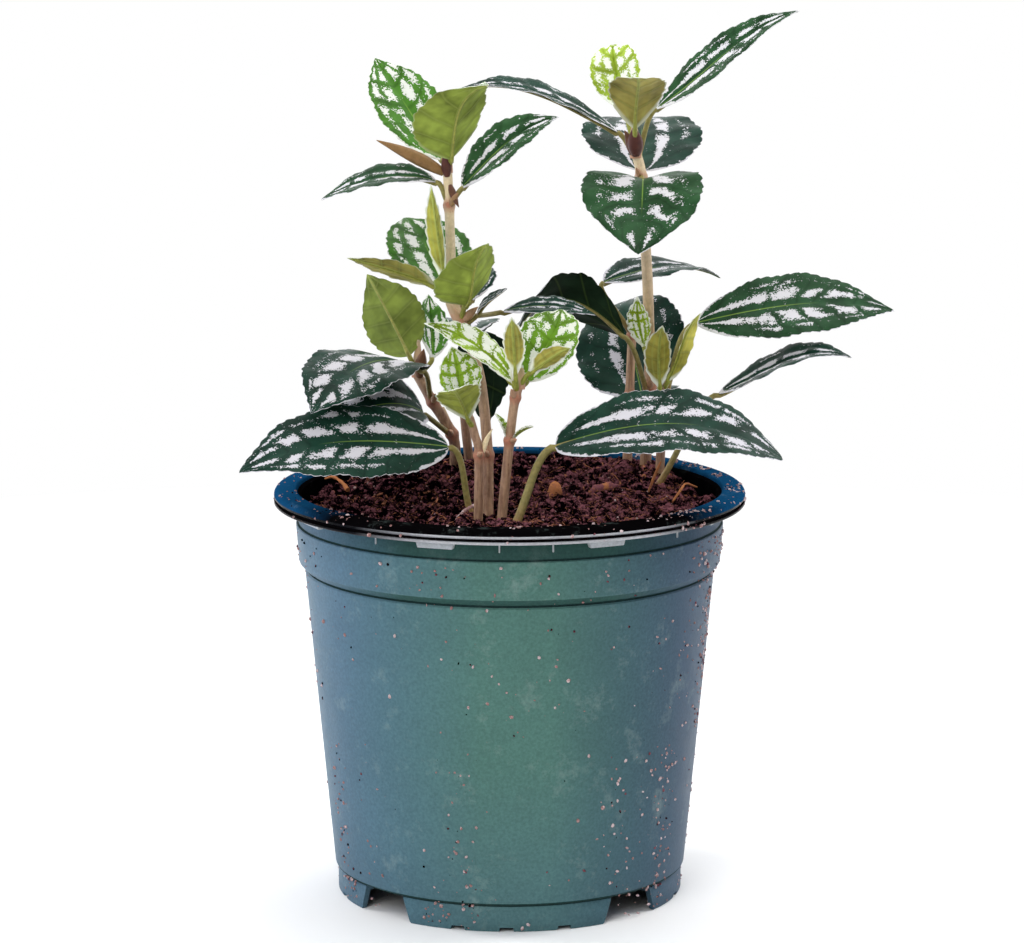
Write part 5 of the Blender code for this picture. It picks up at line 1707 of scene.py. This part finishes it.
class PlantPotSettings(bpy.types.PropertyGroup):
    sides: IntProperty(name="Sides", description="Faces round the pot", default=176, min=24, max=360)
    outer: colour_setting("Outer wall", "Front of the outer wall", "#496d65")
    # Left and right: painted cool blue reflection at the sides of the outer wall
    left: colour_setting("Left side", "Left and foot of the outer wall", "#4a6677")
    right: colour_setting("Right side", "Right of the outer wall", "#384d60")
    shaded: colour_setting("Shaded wall", "Wall under the lip and the collar", "#2c4b46")
    # Painted shade in the grooves
    groove: colour_setting("Grooves", "Painted shade in the grooves", "#1f3433")
    # Near black: painted shade inside the pot and painted dark reflection on the rim's front and the lip's
    # sides
    inner: colour_setting("Inside and rim", "Inside of the pot and front of its rim", "#060506")
    # Painted blue reflection on the sides and back of the rim
    rim_reflection: colour_setting("Painted reflection on the rim", "Sides and back of the rim", "#103f62")
    # Painted highlight on the ribs of the lip
    lip: colour_setting("Ribs of the lip", "Thin ribs round the front of the lip", "#a6a7ab")
    # Painted highlight on the lugs
    lug: colour_setting("Lugs", "Painted highlight on the lugs under the lip", "#b4b8bb")
    dust: colour_setting("Dust", "Dust and scuffs", "#93a5a0")
    specks: count_setting("Specks", "Pale specks on the pot", 60000)
    dirt: count_setting("Dirt", "Dark specks on the pot", 16000)


class PlantSoilSettings(bpy.types.PropertyGroup):
    roughness: length_setting("Roughness", "Height of the lumps in the surface", 2.6)
    crumbs: count_setting("Crumbs", "Crumbs", 420000)
    fibres: count_setting("Fibres", "Coir fibres", 150000)
    perlite: count_setting("Perlite", "White grains", 28000)
    bits: count_setting("Bits", "Bits of bark", 14000)
    dark: colour_setting("Dark peat", "Darkest crumbs", "#040103")
    light: colour_setting("Light peat", "Lightest crumbs", "#805058")
    fibre: colour_setting("Coir", "Lightest fibres", "#b07558")
    bark: colour_setting("Bark", "Bits of bark and roots", "#b87850")
    grit: colour_setting("Grit", "Dullest of the white grains", "#9a7470")
    grain: colour_setting("Perlite colour", "White grains", "#d3bfc0")


class PlantStageSettings(bpy.types.PropertyGroup):
    floor: colour_setting("Floor", "Floor and backdrop", "#f4f4f4")
    white: colour_setting("White", "Colour of the main light and those on the backdrop", "#ffffff")
    side_colour: colour_setting("Side colour", "Colour of the side lights", "#4f8fff")
    key: power_setting("Key light", "Power of the soft main light", 13.5)
    side: power_setting("Side lights", "Power of the cool side lights", 1.2)
    backdrop: power_setting("Backdrop lights", "Power of the lights on the backdrop", 30.0)
    world: power_setting("World", "Strength of the even light all round", 0.3)


SETTINGS = (
    ("plant_leaves", PlantLeafSettings),
    ("plant_stems", PlantStemSettings),
    ("plant_pot", PlantPotSettings),
    ("plant_soil", PlantSoilSettings),
    ("plant_stage", PlantStageSettings),
)


def leaf_materials(settings):
    """The materials of the leaves, made once for whichever operator comes first."""
    makers = {
        "variegated leaf": leaf_material,
        "leaf underside": underside_material,
        "leaf stalk tissue": stalk_material,
    }
    return [bpy.data.materials.get(name) or make(settings) for name, make in makers.items()]


class PLANT_OT_leaves(bpy.types.Operator):
    """Makes the forty leaves, each with its stalk"""

    bl_idname = "plant.leaves"
    bl_label = "Leaves"

    def execute(self, context):
        settings = context.scene.plant_leaves
        materials = leaf_materials(settings)
        for name in LEAVES:
            make_leaf(name, materials, settings)
        return {"FINISHED"}


class PLANT_OT_stems(bpy.types.Operator):
    """Makes the eight stems with their nodes, buds and scales"""

    bl_idname = "plant.stems"
    bl_label = "Stems"

    def execute(self, context):
        settings = context.scene.plant_leaves
        tissue = stem_material(context.scene.plant_stems)
        top, underside, _ = leaf_materials(settings)
        for name in STEMS:
            make_stem(name, [tissue, top, underside], settings)
        return {"FINISHED"}


class PLANT_OT_pot(bpy.types.Operator):
    """Makes the pot with its lip, lugs, feet and drain gaps"""

    bl_idname = "plant.pot"
    bl_label = "Pot"

    def execute(self, context):
        settings = context.scene.plant_pot
        *plastics, lug_highlight = [pot_material(name, settings) for name in PLASTICS]
        make_pot(plastics, settings)
        # The last plastic is the painted highlight of the lugs and ticks
        make_lugs(lug_highlight)
        return {"FINISHED"}


class PLANT_OT_soil(bpy.types.Operator):
    """Makes the soil with its crumbs, fibres, bark, white grains and roots"""

    bl_idname = "plant.soil"
    bl_label = "Soil"

    def execute(self, context):
        settings = context.scene.plant_soil
        peat = soil_material("peat", settings.dark, settings.light)
        coir = soil_material("coir fibre", settings.dark, settings.fibre)
        bark = soil_material("pine bark", settings.light, settings.bark)
        perlite = soil_material("perlite", settings.grit, settings.grain)
        make_piece("soil_look", [soil_shell(settings)], [peat], ("soil",), sharp=ALL_SMOOTH)
        spread_all(SOIL_SPREADS, soil_patch(settings), settings)
        make_piece("soil_finds", found_shells(), [bark, perlite, coir])
        return {"FINISHED"}


class PLANT_OT_specks(bpy.types.Operator):
    """Spreads grains of perlite and peat over the rim and the outer wall of the pot"""

    bl_idname = "plant.specks"
    bl_label = "Specks on the pot"

    def execute(self, context):
        spread_all(POT_SPREADS, pot_patch(), context.scene.plant_pot)
        return {"FINISHED"}


class PLANT_OT_stage(bpy.types.Operator):
    """Sets up the floor, the backdrop, the lights and the camera"""

    bl_idname = "plant.stage"
    bl_label = "Stage"

    def execute(self, context):
        scene = context.scene
        settings = scene.plant_stage
        sweep_object(paper_material(settings.floor))
        camera = place_object("Camera", bpy.data.cameras.new("Camera"))
        camera.data.lens = CAMERA_LENS
        camera.data.sensor_width = SENSOR_WIDTH
        target = Vector(CAMERA_TARGET) * MM
        away = Vector(direction(-90.0, CAMERA_ELEVATION))
        aim_object(camera, target + away * CAMERA_DISTANCE * MM, target)
        scene.camera = camera
        for name in LIGHTS:
            make_light(name, settings)
        world = bpy.data.worlds.new("Even light")
        world.use_nodes = True
        tree = world.node_tree
        seen = add(tree, "ShaderNodeLightPath").outputs["Is Camera Ray"]
        strength = add(tree, RANGE, {0: seen, 3: settings.world, 4: 1.0})
        feed(tree, tree.nodes["Background"], {"Color": rgba(WHITE), "Strength": strength})
        scene.world = world
        scene.view_settings.view_transform = "Standard"
        return {"FINISHED"}


def sweep_object(material):
    """A sheet of paper on the floor that curves up behind the plant."""
    section = [(SWEEP_FRONT, 0.0), (SWEEP_BACK, 0.0)]
    section += [
        (SWEEP_BACK + SWEEP_BEND * math.sin(angle), SWEEP_BEND - SWEEP_BEND * math.cos(angle))
        for angle in np.linspace(0.1, 1.57, SWEEP_STEPS)
    ]
    section.append((SWEEP_BACK + SWEEP_BEND, SWEEP_TOP))
    points = [(side * SWEEP_HALF_WIDTH, y, z) for y, z in section for side in (-1, 1)]
    faces = [(2 * at, 2 * at + 1, 2 * at + 3, 2 * at + 2) for at in range(len(section) - 1)]
    mesh = mesh_of("sweep", points, faces)
    mesh.materials.append(material)
    mesh.shade_smooth()
    return place_object("sweep", mesh)


def aim_object(item, place, target):
    """Puts a camera or a light at a place and turns it to a target."""
    item.location = place
    item.rotation_euler = (target - place).to_track_quat("-Z", "Y").to_euler()


def make_light(name, settings):
    place, size, power, share, colour, aim = LIGHTS[name]
    data = bpy.data.lights.new(name, "AREA")
    data.shape = "SQUARE"
    data.size = size * MM
    data.energy = getattr(settings, power) * share
    data.color = getattr(settings, colour)
    aim_object(place_object(name, data), Vector(place) * MM, Vector(aim) * MM)


class PLANT_PT_panel(bpy.types.Panel):
    """Lists the pieces of the plant"""

    bl_label = "Potted aluminium plant"
    bl_idname = "PLANT_PT_panel"
    bl_space_type = "VIEW_3D"
    bl_region_type = "UI"
    bl_category = "Plant"

    def draw(self, context):
        for operator in OPERATORS:
            self.layout.operator(operator.bl_idname)
        for key, group in SETTINGS:
            box = self.layout.box()
            for name in group.__annotations__:
                box.prop(getattr(context.scene, key), name)


OPERATORS = (PLANT_OT_pot, PLANT_OT_soil, PLANT_OT_specks, PLANT_OT_stems, PLANT_OT_leaves, PLANT_OT_stage)


def register():
    for key, group in SETTINGS:
        bpy.utils.register_class(group)
        setattr(bpy.types.Scene, key, PointerProperty(type=group))
    for operator in OPERATORS:
        bpy.utils.register_class(operator)
    bpy.utils.register_class(PLANT_PT_panel)


def unregister():
    bpy.utils.unregister_class(PLANT_PT_panel)
    for operator in reversed(OPERATORS):
        bpy.utils.unregister_class(operator)
    for key, group in reversed(SETTINGS):
        delattr(bpy.types.Scene, key)
        bpy.utils.unregister_class(group)


def main():
    register()
    bpy.ops.plant.pot()
    bpy.ops.plant.soil()
    bpy.ops.plant.specks()
    bpy.ops.plant.stems()
    bpy.ops.plant.leaves()
    bpy.ops.plant.stage()


if __name__ == "__main__":
    main()
